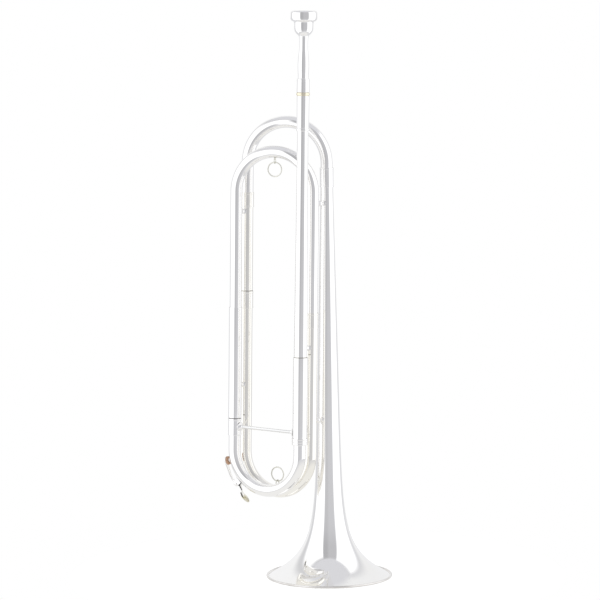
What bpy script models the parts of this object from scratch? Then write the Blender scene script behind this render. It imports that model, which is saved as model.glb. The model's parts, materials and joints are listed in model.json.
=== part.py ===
"""A valveless fanfare trumpet, wound in two coils and stood on its bell.

All sizes are in metres.  The world's origin is the middle of the floor under the whole
instrument, +Z is up, and the bell's axis is exactly vertical.  The coiled tubes are laid
out in a frame of their own, the coil frame, which leans a little away from the bell:
its x runs from the left tubes to the right ones, its y from the front layer to the rear
one, and its z along the tubes.  The air runs down the mouthpipe, round the tuning slide,
up the front left tube, over the front top bow, down the middle right tube, round the
rear bottom bow, up the rear left tube, over the rear top bow and down the bell.
"""
import math

import bmesh
import bpy
from mathutils import Matrix, Vector

# ---------------------------------------------------------------- driving dimensions
LEG_SPACING = 0.0810            # left tubes to right tubes, axis to axis
FRONT_TO_REAR = 0.0208          # front layer to rear layer
REAR_TO_BELL = 0.0258           # rear layer to the bell's axis, at the rear top bow
TUBE_RADIUS = 0.00625           # the coil's plain tube
TUBE_WALL = 0.0005
JOINT_GAP = 0.0003              # play left between neighbouring pieces

BELL_X = 0.0155                 # the bell's axis in the world
BELL_Y = 0.0
BELL_RIM_RADIUS = 0.0665        # outside of the wired rim
BELL_TOP_Z = 0.4202
BELL_TOP_RADIUS = 0.0064
BELL_TAPER = 0.0219             # growth in radius for each unit down the stem
BELL_FLARE = 0.0505             # radius that the flare adds at the rim
BELL_FLARE_FADE = 0.0243        # height over which the flare fades to a third
BELL_WALL = 0.0006
RIM_WIRE_RADIUS = 0.0013

COIL_LEAN_X = math.radians(0.77)
COIL_LEAN_Y = math.radians(0.63)

FRONT_TOP_Z = 0.4056            # centres of the four bows
REAR_TOP_Z = 0.4350
SLIDE_BOW_Z = 0.1340
REAR_BOTTOM_Z = 0.1302

RECEIVER_TOP_Z = 0.5244
RECEIVER_BOTTOM_Z = 0.4707
MOUTHPIECE_TOP_Z = 0.5935
MOUTHPIECE_END_Z = 0.5000
MOUTHPIPE_TOP_Z = 0.4975
MOUTHPIPE_END_Z = 0.1580
MOUTHPIPE_STRAIGHT_Z = 0.2500
MOUTHPIPE_TOP_RADIUS = 0.00555
MOUTHPIPE_END_RADIUS = 0.00695

SLEEVE_TOP_Z = 0.2837           # outer tube that the slide's left leg runs in
SLEEVE_BOTTOM_Z = 0.1671
SLEEVE_RADIUS = 0.00695
SLEEVE_WALL = 0.0004
SLIDE_BOW_RADIUS = 0.00635
SLIDE_INNER_TOP_Z = 0.2650
SLIDE_OUTER_TOP_Z = 0.2369
SLIDE_OUTER_RADIUS = 0.00765
SLIDE_BRACE_Z = 0.1580
SLIDE_BRACE_RADIUS = 0.0017

CORD_RING_RADIUS = 0.0074
CORD_RING_WIRE = 0.00065
EYELET_RADIUS = 0.0026
EYELET_WIRE = 0.0005

KEY_NIPPLE_ANGLE = math.radians(15.4)    # below the slide bow's left end
KEY_PIVOT_ANGLE = math.radians(45.5)
KEY_PIVOT_HEIGHT = 0.0512       # from the slide bow's centre
KEY_PLATE_ANGLE = math.radians(61.5)
KEY_PLATE_HEIGHT = 0.0573

# ---------------------------------------------------------------- places that follow
HALF = LEG_SPACING / 2
BELL_DEPTH = FRONT_TO_REAR + REAR_TO_BELL
MOUTHPIPE_XY = (HALF, 0.0)
FRONT_LEFT_XY = (-HALF, 0.0)
REAR_LEFT_XY = (-HALF, FRONT_TO_REAR)
MIDDLE_RIGHT_XY = (HALF, FRONT_TO_REAR)
BELL_END_XY = (HALF, BELL_DEPTH)
UP = Vector((0.0, 0.0, 1.0))

TURN_STEPS = 16
TUBE_SIDES = 4                  # bevel resolution that gives a twelve-sided tube
BOW_SEGMENTS = 14
MERGE = 0.00001


def coil_matrix():
    """The coil frame's place in the world: it leans about the rear top bow's right end."""
    hinge = Vector((BELL_X, BELL_Y, REAR_TOP_Z))
    lean = Matrix.Rotation(COIL_LEAN_X, 4, "Y") @ Matrix.Rotation(-COIL_LEAN_Y, 4, "X")
    start = Vector((BELL_END_XY[0], BELL_END_XY[1], REAR_TOP_Z))
    return Matrix.Translation(hinge) @ lean @ Matrix.Translation(-start)


def bell_axis_in_coil(z):
    """The point of the bell's axis that is level with height z of the coil frame."""
    start = Vector((BELL_END_XY[0], BELL_END_XY[1], REAR_TOP_Z))
    direction = coil_matrix().to_3x3().inverted() @ UP
    return start + direction * ((z - REAR_TOP_Z) / direction.z)


def bell_radius(z):
    """Outer radius of the bell: a straight taper with a flare that dies away upwards."""
    stem = BELL_TOP_RADIUS + BELL_TAPER * (BELL_TOP_Z - z)
    return stem + BELL_FLARE * math.exp(-z / BELL_FLARE_FADE)


# ---------------------------------------------------------------- scene and materials
def clear_scene():
    for old in list(bpy.data.objects):
        bpy.data.objects.remove(old, do_unlink=True)


def make_collection(name):
    collection = bpy.data.collections.new(name)
    bpy.context.scene.collection.children.link(collection)
    return collection


def make_material(name, colour, roughness, metallic):
    material = bpy.data.materials.new(name)
    material.use_nodes = True
    shader = material.node_tree.nodes["Principled BSDF"]
    shader.inputs["Base Color"].default_value = (*colour, 1.0)
    shader.inputs["Roughness"].default_value = roughness
    shader.inputs["Metallic"].default_value = metallic
    return material


def make_materials():
    return {
        "silver": make_material("silver_plate", (0.91, 0.90, 0.88), 0.08, 1.0),
        "silver_trim": make_material("silver_trim", (0.88, 0.86, 0.82), 0.14, 1.0),
        "gilt": make_material("gilt_ring", (0.86, 0.72, 0.40), 0.18, 1.0),
        "cork": make_material("cork", (0.50, 0.27, 0.14), 0.90, 0.0),
        "spring": make_material("spring_steel", (0.05, 0.05, 0.055), 0.35, 1.0),
    }


class Workshop:
    """Where new pieces go: the collections, the materials and the parent frames."""

    def __init__(self):
        self.parts = make_collection("fanfare_trumpet")
        self.cutters = make_collection("cutters")
        self.materials = make_materials()

    def add(self, name, data, material, parent, location=(0, 0, 0), rotation=None):
        piece = bpy.data.objects.new(name, data)
        self.parts.objects.link(piece)
        data.materials.append(self.materials[material])
        piece.parent = parent
        piece.location = location
        if rotation is not None:
            piece.rotation_euler = rotation
        return piece

    def frame(self, name, matrix, parent=None):
        empty = bpy.data.objects.new(name, None)
        empty.empty_display_size = 0.02
        self.parts.objects.link(empty)
        empty.parent = parent
        empty.matrix_local = matrix
        return empty

    def make_cutter(self, piece):
        self.parts.objects.unlink(piece)
        self.cutters.objects.link(piece)
        piece.hide_render = True
        piece.display_type = "WIRE"
        return piece


# ---------------------------------------------------------------- ways to make a piece
def chain_mesh(name, points, closed):
    """A chain of edges through (radius, height) points, ready for a Screw modifier."""
    mesh = bpy.data.meshes.new(name)
    count = len(points)
    edges = [(i, i + 1) for i in range(count - 1)]
    if closed:
        edges.append((count - 1, 0))
    mesh.from_pydata([(r, 0.0, z) for r, z in points], edges, [])
    return mesh


def turned(shop, name, profile, material, parent, place=(0, 0, 0), **options):
    """A lathe-turned piece.  The profile runs down its outer side and up its inner one."""
    mesh = chain_mesh(name, profile, options.get("closed", True))
    piece = shop.add(name, mesh, material, parent, place, options.get("rotation"))
    screw = piece.modifiers.new("turn", "SCREW")
    screw.axis = "Z"
    screw.steps = options.get("steps", TURN_STEPS)
    screw.render_steps = screw.steps
    screw.use_merge_vertices = True
    screw.merge_threshold = MERGE
    screw.use_smooth_shade = True
    return piece


def straight_tube(shop, name, xy, top, bottom, radius, wall, material, parent):
    inner = radius - wall
    profile = [(radius, top), (radius, bottom), (inner, bottom), (inner, top)]
    return turned(shop, name, profile, material, parent, (xy[0], xy[1], 0.0))


def ferrule(shop, name, xy, top, bottom, inner, outer, parent):
    """A short sleeve with a thin raised band at each end."""
    band = 0.0012
    waist = outer - 0.00015
    profile = [
        (outer, top), (outer, top - band), (waist, top - band - 0.0003),
        (waist, bottom + band + 0.0003), (outer, bottom + band), (outer, bottom),
        (inner, bottom), (inner, top),
    ]
    return turned(shop, name, profile, "silver_trim", parent, (xy[0], xy[1], 0.0))


def path_curve(name, points, radius, sides, capped):
    curve = bpy.data.curves.new(name, "CURVE")
    curve.dimensions = "3D"
    curve.bevel_depth = radius
    curve.bevel_resolution = sides
    curve.use_fill_caps = capped
    spline = curve.splines.new("POLY")
    spline.points.add(len(points) - 1)
    for spot, point in zip(spline.points, points):
        spot.co = (*point, 1.0)
    return curve


def bow_path(left_xy, right_xy, centre_z, rise, left_end, right_end):
    """Down (or up) the left leg, round half a turn, and back along the right leg.

    rise is 1 for a bow at the top and -1 for one at the bottom.
    """
    left = Vector((*left_xy, centre_z))
    right = Vector((*right_xy, centre_z))
    middle = (left + right) / 2
    across = (right - left) / 2
    path = [Vector((*left_xy, left_end))]
    for step in range(BOW_SEGMENTS + 1):
        turn = math.pi * step / BOW_SEGMENTS
        over = UP * (rise * across.length * math.sin(turn))
        path.append(middle - across * math.cos(turn) + over)
    path.append(Vector((*right_xy, right_end)))
    return path


def bent_tube(shop, name, path, radius, parent):
    """An open-ended bent tube with a real wall."""
    curve = path_curve(name, path, radius, TUBE_SIDES, False)
    piece = shop.add(name, curve, "silver", parent)
    shell = piece.modifiers.new("wall", "SOLIDIFY")
    shell.thickness = TUBE_WALL
    shell.offset = -1.0
    return piece


def round_ring(name, radius, wire, around, across):
    """A torus mesh lying in its own XY plane."""
    mesh = bpy.data.meshes.new(name)
    ring = bmesh.new()
    loops = []
    for i in range(around):
        turn = 2 * math.pi * i / around
        outward = Vector((math.cos(turn), math.sin(turn), 0.0))
        loop = []
        for j in range(across):
            roll = 2 * math.pi * j / across
            spot = outward * (radius + wire * math.cos(roll)) + UP * (wire * math.sin(roll))
            loop.append(ring.verts.new(spot))
        loops.append(loop)
    for i in range(around):
        here = loops[i]
        there = loops[(i + 1) % around]
        for j in range(across):
            k = (j + 1) % across
            ring.faces.new((here[j], there[j], there[k], here[k]))
    bmesh.ops.recalc_face_normals(ring, faces=ring.faces)
    ring.to_mesh(mesh)
    ring.free()
    mesh.shade_smooth()
    return mesh


def frame_along(start, end):
    """A rotation that turns +Z from start towards end."""
    return (end - start).to_track_quat("Z", "Y").to_euler()


def mesh_from(shop, piece):
    """Turn a curve piece, or a piece with modifiers, into a plain welded mesh piece."""
    graph = bpy.context.evaluated_depsgraph_get()
    solid = bpy.data.meshes.new_from_object(piece.evaluated_get(graph))
    work = bmesh.new()
    work.from_mesh(solid)
    bmesh.ops.remove_doubles(work, verts=work.verts, dist=MERGE)
    bmesh.ops.recalc_face_normals(work, faces=work.faces)
    work.to_mesh(solid)
    work.free()
    twin = bpy.data.objects.new(piece.name, solid)
    shop.parts.objects.link(twin)
    twin.parent = piece.parent
    twin.matrix_local = piece.matrix_local
    name = piece.name
    bpy.data.objects.remove(piece, do_unlink=True)
    twin.name = name
    return twin


def combine(piece, other, operation):
    boolean = piece.modifiers.new(operation.lower(), "BOOLEAN")
    boolean.operation = operation
    boolean.object = other
    boolean.solver = "EXACT"
    return boolean


# ---------------------------------------------------------------- mouthpiece and mouthpipe
def make_mouthpiece(shop, coil):
    """Rim, cup, throat and shank in one turned piece, bored right through."""
    top = MOUTHPIECE_TOP_Z
    outside = [
        (0.0110, top), (0.0126, top - 0.0004), (0.0135, top - 0.0014),
        (0.0138, top - 0.0032), (0.0138, top - 0.0072), (0.0134, top - 0.0092),
        (0.0123, top - 0.0104), (0.0105, top - 0.0112), (0.0100, top - 0.0125),
        (0.0099, top - 0.0170), (0.0093, top - 0.0206), (0.0074, top - 0.0236),
        (0.0053, top - 0.0256), (0.0046, top - 0.0290), (0.0045, top - 0.0375),
        (0.0048, top - 0.0415), (0.0054, top - 0.0465), (0.0058, top - 0.0520),
        (0.0059, top - 0.0570), (0.0057, top - 0.0635), (0.0055, top - 0.0675),
        (0.0050, MOUTHPIECE_END_Z),
    ]
    inside = [
        (0.0041, MOUTHPIECE_END_Z), (0.0019, top - 0.0330), (0.0019, top - 0.0275),
        (0.0034, top - 0.0225), (0.0062, top - 0.0180), (0.0080, top - 0.0120),
        (0.0086, top - 0.0055), (0.0093, top - 0.0010),
    ]
    place = (MOUTHPIPE_XY[0], MOUTHPIPE_XY[1], 0.0)
    turned(shop, "mouthpiece", outside + inside, "silver", coil, place)


def make_receiver(shop, coil):
    """The socket for the mouthpiece, with a groove that holds a gilt ring."""
    top = RECEIVER_TOP_Z
    bottom = RECEIVER_BOTTOM_Z
    socket_end = MOUTHPIECE_END_Z - 0.0015
    pipe_bore = 0.00605
    profile = [
        (0.0063, top), (0.0065, top - 0.0010), (0.0067, top - 0.0140),
        (0.0061, top - 0.0143), (0.0061, top - 0.0175), (0.0065, top - 0.0178),
        (0.0064, bottom + 0.0024), (0.0069, bottom + 0.0021), (0.0069, bottom + 0.0004),
        (0.0066, bottom), (pipe_bore, bottom), (pipe_bore, socket_end),
        (0.0054, socket_end), (0.0059, top),
    ]
    place = (MOUTHPIPE_XY[0], MOUTHPIPE_XY[1], 0.0)
    turned(shop, "mouthpiece_receiver", profile, "silver", coil, place)
    ring_middle = top - 0.0159
    ring = [
        (0.0069, ring_middle + 0.0013), (0.0071, ring_middle), (0.0069, ring_middle - 0.0013),
        (0.0064, ring_middle - 0.0013), (0.0064, ring_middle + 0.0013),
    ]
    turned(shop, "receiver_ring", ring, "gilt", coil, place)


def make_mouthpipe(shop, coil):
    """The leadpipe widens down to a straight end that the tuning slide runs on."""
    wall = TUBE_WALL
    profile = [
        (MOUTHPIPE_TOP_RADIUS, MOUTHPIPE_TOP_Z),
        (MOUTHPIPE_END_RADIUS, MOUTHPIPE_STRAIGHT_Z),
        (MOUTHPIPE_END_RADIUS, MOUTHPIPE_END_Z),
        (MOUTHPIPE_END_RADIUS - wall, MOUTHPIPE_END_Z),
        (MOUTHPIPE_END_RADIUS - wall, MOUTHPIPE_STRAIGHT_Z),
        (MOUTHPIPE_TOP_RADIUS - wall, MOUTHPIPE_TOP_Z),
    ]
    place = (MOUTHPIPE_XY[0], MOUTHPIPE_XY[1], 0.0)
    turned(shop, "mouthpipe", profile, "silver", coil, place)


# ---------------------------------------------------------------- the coiled tubes
FERRULE_INNER = TUBE_RADIUS + JOINT_GAP
FERRULE_OUTER = 0.0070
FRONT_LEFT_END_Z = SLEEVE_TOP_Z - 0.0120
MIDDLE_RIGHT_JOINT_Z = 0.2735
REAR_LEFT_LOWER_JOINT_Z = 0.2900
REAR_LEFT_UPPER_JOINT_Z = 0.3942
BELL_JOINT_Z = BELL_TOP_Z + JOINT_GAP


def make_coil_tubes(shop, coil):
    """The fixed bows and tubes of the coil, each ending inside a ferrule."""
    half_gap = JOINT_GAP / 2
    front_top = bow_path(FRONT_LEFT_XY, MIDDLE_RIGHT_XY, FRONT_TOP_Z, 1,
                         FRONT_LEFT_END_Z, MIDDLE_RIGHT_JOINT_Z + half_gap)
    bent_tube(shop, "front_top_bow", front_top, TUBE_RADIUS, coil)
    rear_bottom = bow_path(REAR_LEFT_XY, MIDDLE_RIGHT_XY, REAR_BOTTOM_Z, -1,
                           REAR_LEFT_LOWER_JOINT_Z - half_gap, MIDDLE_RIGHT_JOINT_Z - half_gap)
    bent_tube(shop, "rear_bottom_bow", rear_bottom, TUBE_RADIUS, coil)
    rear_top = bow_path(REAR_LEFT_XY, BELL_END_XY, REAR_TOP_Z, 1,
                        REAR_LEFT_UPPER_JOINT_Z + half_gap, BELL_JOINT_Z)
    bent_tube(shop, "rear_top_bow", rear_top, TUBE_RADIUS, coil)
    straight_tube(shop, "rear_left_tube", REAR_LEFT_XY, REAR_LEFT_UPPER_JOINT_Z - half_gap,
                  REAR_LEFT_LOWER_JOINT_Z + half_gap, TUBE_RADIUS, TUBE_WALL, "silver", coil)
    straight_tube(shop, "slide_sleeve", FRONT_LEFT_XY, SLEEVE_TOP_Z, SLEEVE_BOTTOM_Z,
                  SLEEVE_RADIUS, SLEEVE_WALL, "silver", coil)


def make_coil_ferrules(shop, coil):
    ferrule(shop, "middle_right_ferrule", MIDDLE_RIGHT_XY, 0.2816, 0.2655,
            FERRULE_INNER, FERRULE_OUTER, coil)
    ferrule(shop, "rear_left_lower_ferrule", REAR_LEFT_XY, 0.2990, 0.2807,
            FERRULE_INNER, FERRULE_OUTER, coil)
    ferrule(shop, "rear_left_upper_ferrule", REAR_LEFT_XY, 0.4030, 0.3872,
            FERRULE_INNER, FERRULE_OUTER, coil)


# ---------------------------------------------------------------- the bell
def make_bell(shop):
    """A spun horn with a wired edge, and the ferrule that joins it to the rear top bow."""
    edge_z = 0.0011
    heights = [BELL_TOP_Z, 0.30, 0.19, 0.135, 0.100, 0.076, 0.058, 0.044, 0.033, 0.0245,
               0.0178, 0.0125, 0.0082, 0.0050, 0.0028, edge_z]
    profile = [(bell_radius(z), z) for z in heights]
    place = (BELL_X, BELL_Y, 0.0)
    bell = turned(shop, "bell", profile, "silver", None, place, closed=False, steps=32)
    shell = bell.modifiers.new("wall", "SOLIDIFY")
    shell.thickness = BELL_WALL
    shell.offset = -1.0
    shell.use_even_offset = True
    make_rim_wire(shop, place)
    ferrule_place = (BELL_X, BELL_Y)
    ferrule(shop, "bell_ferrule", ferrule_place, 0.4310, 0.4105, 0.00692, 0.00735, None)


def make_rim_wire(shop, place):
    """The wire in the bell's edge, flattened underneath where the bell stands."""
    wire = RIM_WIRE_RADIUS
    middle = BELL_RIM_RADIUS - wire
    flat = 0.6 * wire
    outline = []
    for degrees in (60, 20, -20, -55):
        turn = math.radians(degrees)
        height = wire + wire * math.sin(turn)
        outline.append((middle + wire * math.cos(turn), max(height, 0.0003)))
    outline += [(middle + flat, 0.0), (middle - flat, 0.0)]
    for degrees in (235, 200, 160, 120):
        turn = math.radians(degrees)
        height = wire + wire * math.sin(turn)
        outline.append((middle + wire * math.cos(turn), max(height, 0.0003)))
    turned(shop, "bell_rim_wire", outline, "silver_trim", None, place, steps=32)


# ---------------------------------------------------------------- braces between layers
BALL_RADIUS = 0.0029
BRACE_NECK = 0.0014
BRACE_FOOT = 0.0030
BRACE_FOOT_THICKNESS = 0.0006


def make_ball_brace(shop, name, coil, from_point, to_point, from_radius, to_radius):
    """A turned post with a ball in its middle and a foot against each tube."""
    along = (to_point - from_point).normalized()
    start = from_point + along * (from_radius + JOINT_GAP)
    end = to_point - along * (to_radius + JOINT_GAP)
    length = (end - start).length
    middle = length / 2
    foot = BRACE_FOOT_THICKNESS
    shoulder = foot + 0.0001
    neck_turn = math.acos(BRACE_NECK / BALL_RADIUS)
    outline = [(0.0, length), (BRACE_FOOT, length), (BRACE_FOOT, length - foot),
               (BRACE_NECK, length - shoulder)]
    for share in (1.0, 0.6, 0.2, -0.2, -0.6, -1.0):
        turn = neck_turn * share
        outline.append((BALL_RADIUS * math.cos(turn), middle + BALL_RADIUS * math.sin(turn)))
    outline += [(BRACE_NECK, shoulder), (BRACE_FOOT, foot), (BRACE_FOOT, 0.0), (0.0, 0.0)]
    turned(shop, name, outline, "silver_trim", coil, start, closed=False, steps=12,
           rotation=frame_along(start, end))


def on_tube(xy, z):
    return Vector((xy[0], xy[1], z))


def make_braces(shop, coil):
    make_ball_brace(shop, "left_brace_upper", coil, on_tube(FRONT_LEFT_XY, 0.3834),
                    on_tube(REAR_LEFT_XY, 0.3834), TUBE_RADIUS, TUBE_RADIUS)
    make_ball_brace(shop, "left_brace_lower", coil, on_tube(FRONT_LEFT_XY, 0.2007),
                    on_tube(REAR_LEFT_XY, 0.2007), SLEEVE_RADIUS, TUBE_RADIUS)
    make_ball_brace(shop, "mouthpipe_brace", coil, on_tube(MOUTHPIPE_XY, 0.2455),
                    on_tube(MIDDLE_RIGHT_XY, 0.2455), MOUTHPIPE_END_RADIUS, TUBE_RADIUS)
    for name, z in (("bell_brace_upper", 0.3943), ("bell_brace_lower", 0.1677)):
        make_ball_brace(shop, name, coil, on_tube(MIDDLE_RIGHT_XY, z), bell_axis_in_coil(z),
                        TUBE_RADIUS, bell_radius(z))


# ---------------------------------------------------------------- tuning slide
def make_tuning_slide(shop, slide):
    """The bottom bow that pulls down: its left leg runs inside, its right leg outside."""
    left_joint = 0.1572
    right_joint = 0.1475
    bow = bow_path(FRONT_LEFT_XY, MOUTHPIPE_XY, SLIDE_BOW_Z, -1, left_joint - JOINT_GAP,
                   right_joint - JOINT_GAP)
    bent_tube(shop, "slide_bow", bow, SLIDE_BOW_RADIUS, slide)
    straight_tube(shop, "slide_inner_leg", FRONT_LEFT_XY, SLIDE_INNER_TOP_Z, left_joint,
                  TUBE_RADIUS, TUBE_WALL, "silver", slide)
    straight_tube(shop, "slide_outer_leg", MOUTHPIPE_XY, SLIDE_OUTER_TOP_Z, 0.1495,
                  SLIDE_OUTER_RADIUS, 0.0004, "silver", slide)
    ferrule(shop, "slide_left_ferrule", FRONT_LEFT_XY, SLEEVE_BOTTOM_Z - JOINT_GAP, 0.1484,
            SLIDE_BOW_RADIUS + JOINT_GAP, 0.0071, slide)
    make_stepped_ferrule(shop, slide)
    make_slide_brace(shop, slide)


def make_stepped_ferrule(shop, slide):
    """The right ferrule steps from the wide outer leg down to the bow's tube."""
    top = 0.1528
    step = 0.1490
    bottom = 0.1455
    wide = SLIDE_OUTER_RADIUS + JOINT_GAP
    narrow = SLIDE_BOW_RADIUS + JOINT_GAP
    profile = [
        (0.0084, top), (0.0084, step), (0.0081, step - 0.0004), (0.0081, bottom + 0.0005),
        (0.0078, bottom), (narrow, bottom), (narrow, step - 0.0003), (wide, step), (wide, top),
    ]
    place = (MOUTHPIPE_XY[0], MOUTHPIPE_XY[1], 0.0)
    turned(shop, "slide_right_ferrule", profile, "silver_trim", slide, place)


def make_slide_brace(shop, slide):
    """The rod across the slide, with a flared foot at each end."""
    foot = 0.0030
    left = Vector((-HALF + 0.0071 + JOINT_GAP, 0.0, SLIDE_BRACE_Z))
    right = Vector((HALF - SLIDE_OUTER_RADIUS - JOINT_GAP, 0.0, SLIDE_BRACE_Z))
    across = Vector((1.0, 0.0, 0.0))
    radius = SLIDE_BRACE_RADIUS
    flare = [(0.0, foot), (radius + 0.0004, foot), (radius + 0.0007, foot * 0.6),
             (0.0044, 0.0007), (0.0046, 0.0), (0.0, 0.0)]
    turned(shop, "slide_brace_foot_left", flare, "silver_trim", slide, left, closed=False,
           steps=12, rotation=frame_along(left, right))
    turned(shop, "slide_brace_foot_right", flare, "silver_trim", slide, right, closed=False,
           steps=12, rotation=frame_along(right, left))
    start = left + across * (foot + JOINT_GAP)
    end = right - across * (foot + JOINT_GAP)
    length = (end - start).length
    rod = [(0.0, length), (radius, length), (radius, 0.0), (0.0, 0.0)]
    turned(shop, "slide_brace_rod", rod, "silver", slide, start, closed=False, steps=12,
           rotation=frame_along(start, end))


# ---------------------------------------------------------------- water key
EAR_OUTER = 0.0046              # half the saddle's width, outside the ears
EAR_INNER = 0.0036
PIVOT_HOLE = 0.0012


def key_point(angle, height, y=0.0):
    """A point beside the slide bow: angle below its left end, height from its centre."""
    x = -height * math.cos(angle)
    z = SLIDE_BOW_Z - height * math.sin(angle)
    return Vector((x, y, z))


def radial_rotation(angle):
    """Turns +Z away from the slide bow's centre and keeps Y where it is."""
    return (0.0, -(math.pi / 2 + angle), 0.0)


def box_mesh(name, low, high):
    mesh = bpy.data.meshes.new(name)
    block = bmesh.new()
    bmesh.ops.create_cube(block, size=1.0)
    size = [b - a for a, b in zip(low, high)]
    middle = [(a + b) / 2 for a, b in zip(low, high)]
    bmesh.ops.scale(block, vec=size, verts=block.verts)
    bmesh.ops.translate(block, vec=middle, verts=block.verts)
    block.to_mesh(mesh)
    block.free()
    return mesh


def cylinder_mesh(name, radius, low, high, sides=12):
    """A cylinder along Y."""
    mesh = bpy.data.meshes.new(name)
    drum = bmesh.new()
    bmesh.ops.create_cone(drum, cap_ends=True, segments=sides, radius1=radius,
                          radius2=radius, depth=high - low)
    bmesh.ops.rotate(drum, cent=(0, 0, 0), matrix=Matrix.Rotation(math.pi / 2, 3, "X"),
                     verts=drum.verts)
    bmesh.ops.translate(drum, vec=(0, (low + high) / 2, 0), verts=drum.verts)
    drum.to_mesh(mesh)
    drum.free()
    return mesh


def make_key_saddle(shop, slide):
    """A channel-shaped saddle on the bow, its two ears bored for the pivot screw."""
    base = SLIDE_BOW_RADIUS + LEG_SPACING / 2 + JOINT_GAP - KEY_PIVOT_HEIGHT
    place = key_point(KEY_PIVOT_ANGLE, KEY_PIVOT_HEIGHT)
    turn = radial_rotation(KEY_PIVOT_ANGLE)
    block = box_mesh("key_saddle", (-0.0030, -EAR_OUTER, base), (0.0030, EAR_OUTER, 0.0019))
    saddle = shop.add("key_saddle", block, "silver_trim", slide, place, turn)
    channel = box_mesh("saddle_channel", (-0.0040, -EAR_INNER, base + 0.0006),
                       (0.0040, EAR_INNER, 0.0030))
    bore = cylinder_mesh("saddle_bore", PIVOT_HOLE, -0.0060, 0.0060)
    for name, mesh in (("saddle_channel", channel), ("saddle_bore", bore)):
        cutter = shop.make_cutter(shop.add(name, mesh, "silver_trim", slide, place, turn))
        combine(saddle, cutter, "DIFFERENCE")


def make_key_small_parts(shop, slide):
    """The drain nipple, the pivot screw and the black torsion spring."""
    place = key_point(KEY_NIPPLE_ANGLE, HALF)
    foot = SLIDE_BOW_RADIUS + JOINT_GAP
    nipple = [(0.0024, foot + 0.0014), (0.0027, foot + 0.0008), (0.0029, foot),
              (0.0015, foot), (0.0015, foot + 0.0014)]
    turned(shop, "drain_nipple", nipple, "silver_trim", slide, place, steps=12,
           rotation=radial_rotation(KEY_NIPPLE_ANGLE))
    pivot = key_point(KEY_PIVOT_ANGLE, KEY_PIVOT_HEIGHT)
    shaft = 0.0009
    head = EAR_OUTER + JOINT_GAP
    screw = [(0.0, head + 0.0011), (0.0012, head + 0.0011), (0.0017, head + 0.0006),
             (0.0017, head), (shaft, head), (shaft, -EAR_OUTER), (0.0, -EAR_OUTER)]
    turned(shop, "key_pivot_screw", screw, "silver_trim", slide, pivot, closed=False,
           steps=12, rotation=(math.pi / 2, 0.0, 0.0))


SPRING_COIL = 0.00225
SPRING_WIRE = 0.0004
SPRING_TURNS = 2.75
SPRING_FRONT_Y = -0.0030
SPRING_BACK_Y = -0.0002


def make_key_spring(shop, slide):
    """A torsion spring round the pivot, its long leg lying along the finger arm."""
    pivot = key_point(KEY_PIVOT_ANGLE, KEY_PIVOT_HEIGHT)
    tip = key_point(KEY_PLATE_ANGLE - math.radians(6.0), KEY_PLATE_HEIGHT - 0.0051)
    outward = (pivot - Vector((0.0, 0.0, SLIDE_BOW_Z))).normalized()
    down = Vector((-outward.z, 0.0, outward.x)) * -1.0
    points = []
    steps = 26
    for step in range(steps + 1):
        turn = 2 * math.pi * SPRING_TURNS * step / steps - math.pi / 2
        y = SPRING_FRONT_Y + (SPRING_BACK_Y - SPRING_FRONT_Y) * step / steps
        ring = outward * math.cos(turn) + down * math.sin(turn)
        points.append(pivot + ring * SPRING_COIL + Vector((0.0, y, 0.0)))
    points.append(tip + Vector((0.0, SPRING_BACK_Y, 0.0)))
    curve = path_curve("key_spring", points, SPRING_WIRE, 1, True)
    shop.add("key_spring", curve, "spring", slide)


KNUCKLE_LOW_Y = 0.0006
KNUCKLE_HIGH_Y = 0.0033


def make_water_key(shop, slide):
    """The lever, which carries a cork at one end and a finger plate at the other."""
    pivot = key_point(KEY_PIVOT_ANGLE, KEY_PIVOT_HEIGHT)
    key = shop.frame("water_key_pivot", Matrix.Translation(pivot), slide)
    cork_inner = HALF + SLIDE_BOW_RADIUS + JOINT_GAP + 0.0014 + JOINT_GAP
    cork_outer = cork_inner + 0.0028
    cup_angle = radial_rotation(KEY_NIPPLE_ANGLE)
    cork_place = key_point(KEY_NIPPLE_ANGLE, cork_inner) - pivot
    cork = [(0.0, 0.0028), (0.0040, 0.0028), (0.0043, 0.0023), (0.0043, 0.0005),
            (0.0040, 0.0), (0.0, 0.0)]
    turned(shop, "key_cork", cork, "cork", key, cork_place, closed=False, steps=14,
           rotation=cup_angle)

    middle_y = (KNUCKLE_LOW_Y + KNUCKLE_HIGH_Y) / 2
    knuckle = cylinder_mesh("key_lever", 0.0017, KNUCKLE_LOW_Y, KNUCKLE_HIGH_Y)
    lever = shop.add("key_lever", knuckle, "silver_trim", key)

    cup_place = key_point(KEY_NIPPLE_ANGLE, cork_outer + JOINT_GAP) - pivot
    cup_profile = [(0.0, 0.0012), (0.0034, 0.0012), (0.0044, 0.0005), (0.0044, 0.0), (0.0, 0.0)]
    cup = turned(shop, "cup_plate", cup_profile, "silver_trim", key, cup_place, closed=False,
                 steps=14, rotation=cup_angle)
    cup_centre = key_point(KEY_NIPPLE_ANGLE, cork_outer + 0.0020) - pivot
    plate_centre = key_point(KEY_PLATE_ANGLE, KEY_PLATE_HEIGHT) - pivot
    elbow = key_point(KEY_PIVOT_ANGLE - math.radians(9.0), KEY_PIVOT_HEIGHT + 0.0038) - pivot
    offset = Vector((0.0, middle_y, 0.0))
    arm_points = [cup_centre, elbow + offset * 0.8, offset, plate_centre]
    arm = shop.add("key_arm", path_curve("key_arm", arm_points, 0.0012, 1, True),
                   "silver_trim", key)
    arm = mesh_from(shop, arm)
    plate = make_finger_plate(shop, key, plate_centre)
    for addition in (mesh_from(shop, cup), arm, plate):
        combine(lever, shop.make_cutter(addition), "UNION")
    bore = cylinder_mesh("lever_bore", PIVOT_HOLE, -0.0060, 0.0060)
    hole = shop.make_cutter(shop.add("lever_bore", bore, "silver_trim", key))
    combine(lever, hole, "DIFFERENCE")
    return lever


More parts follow.
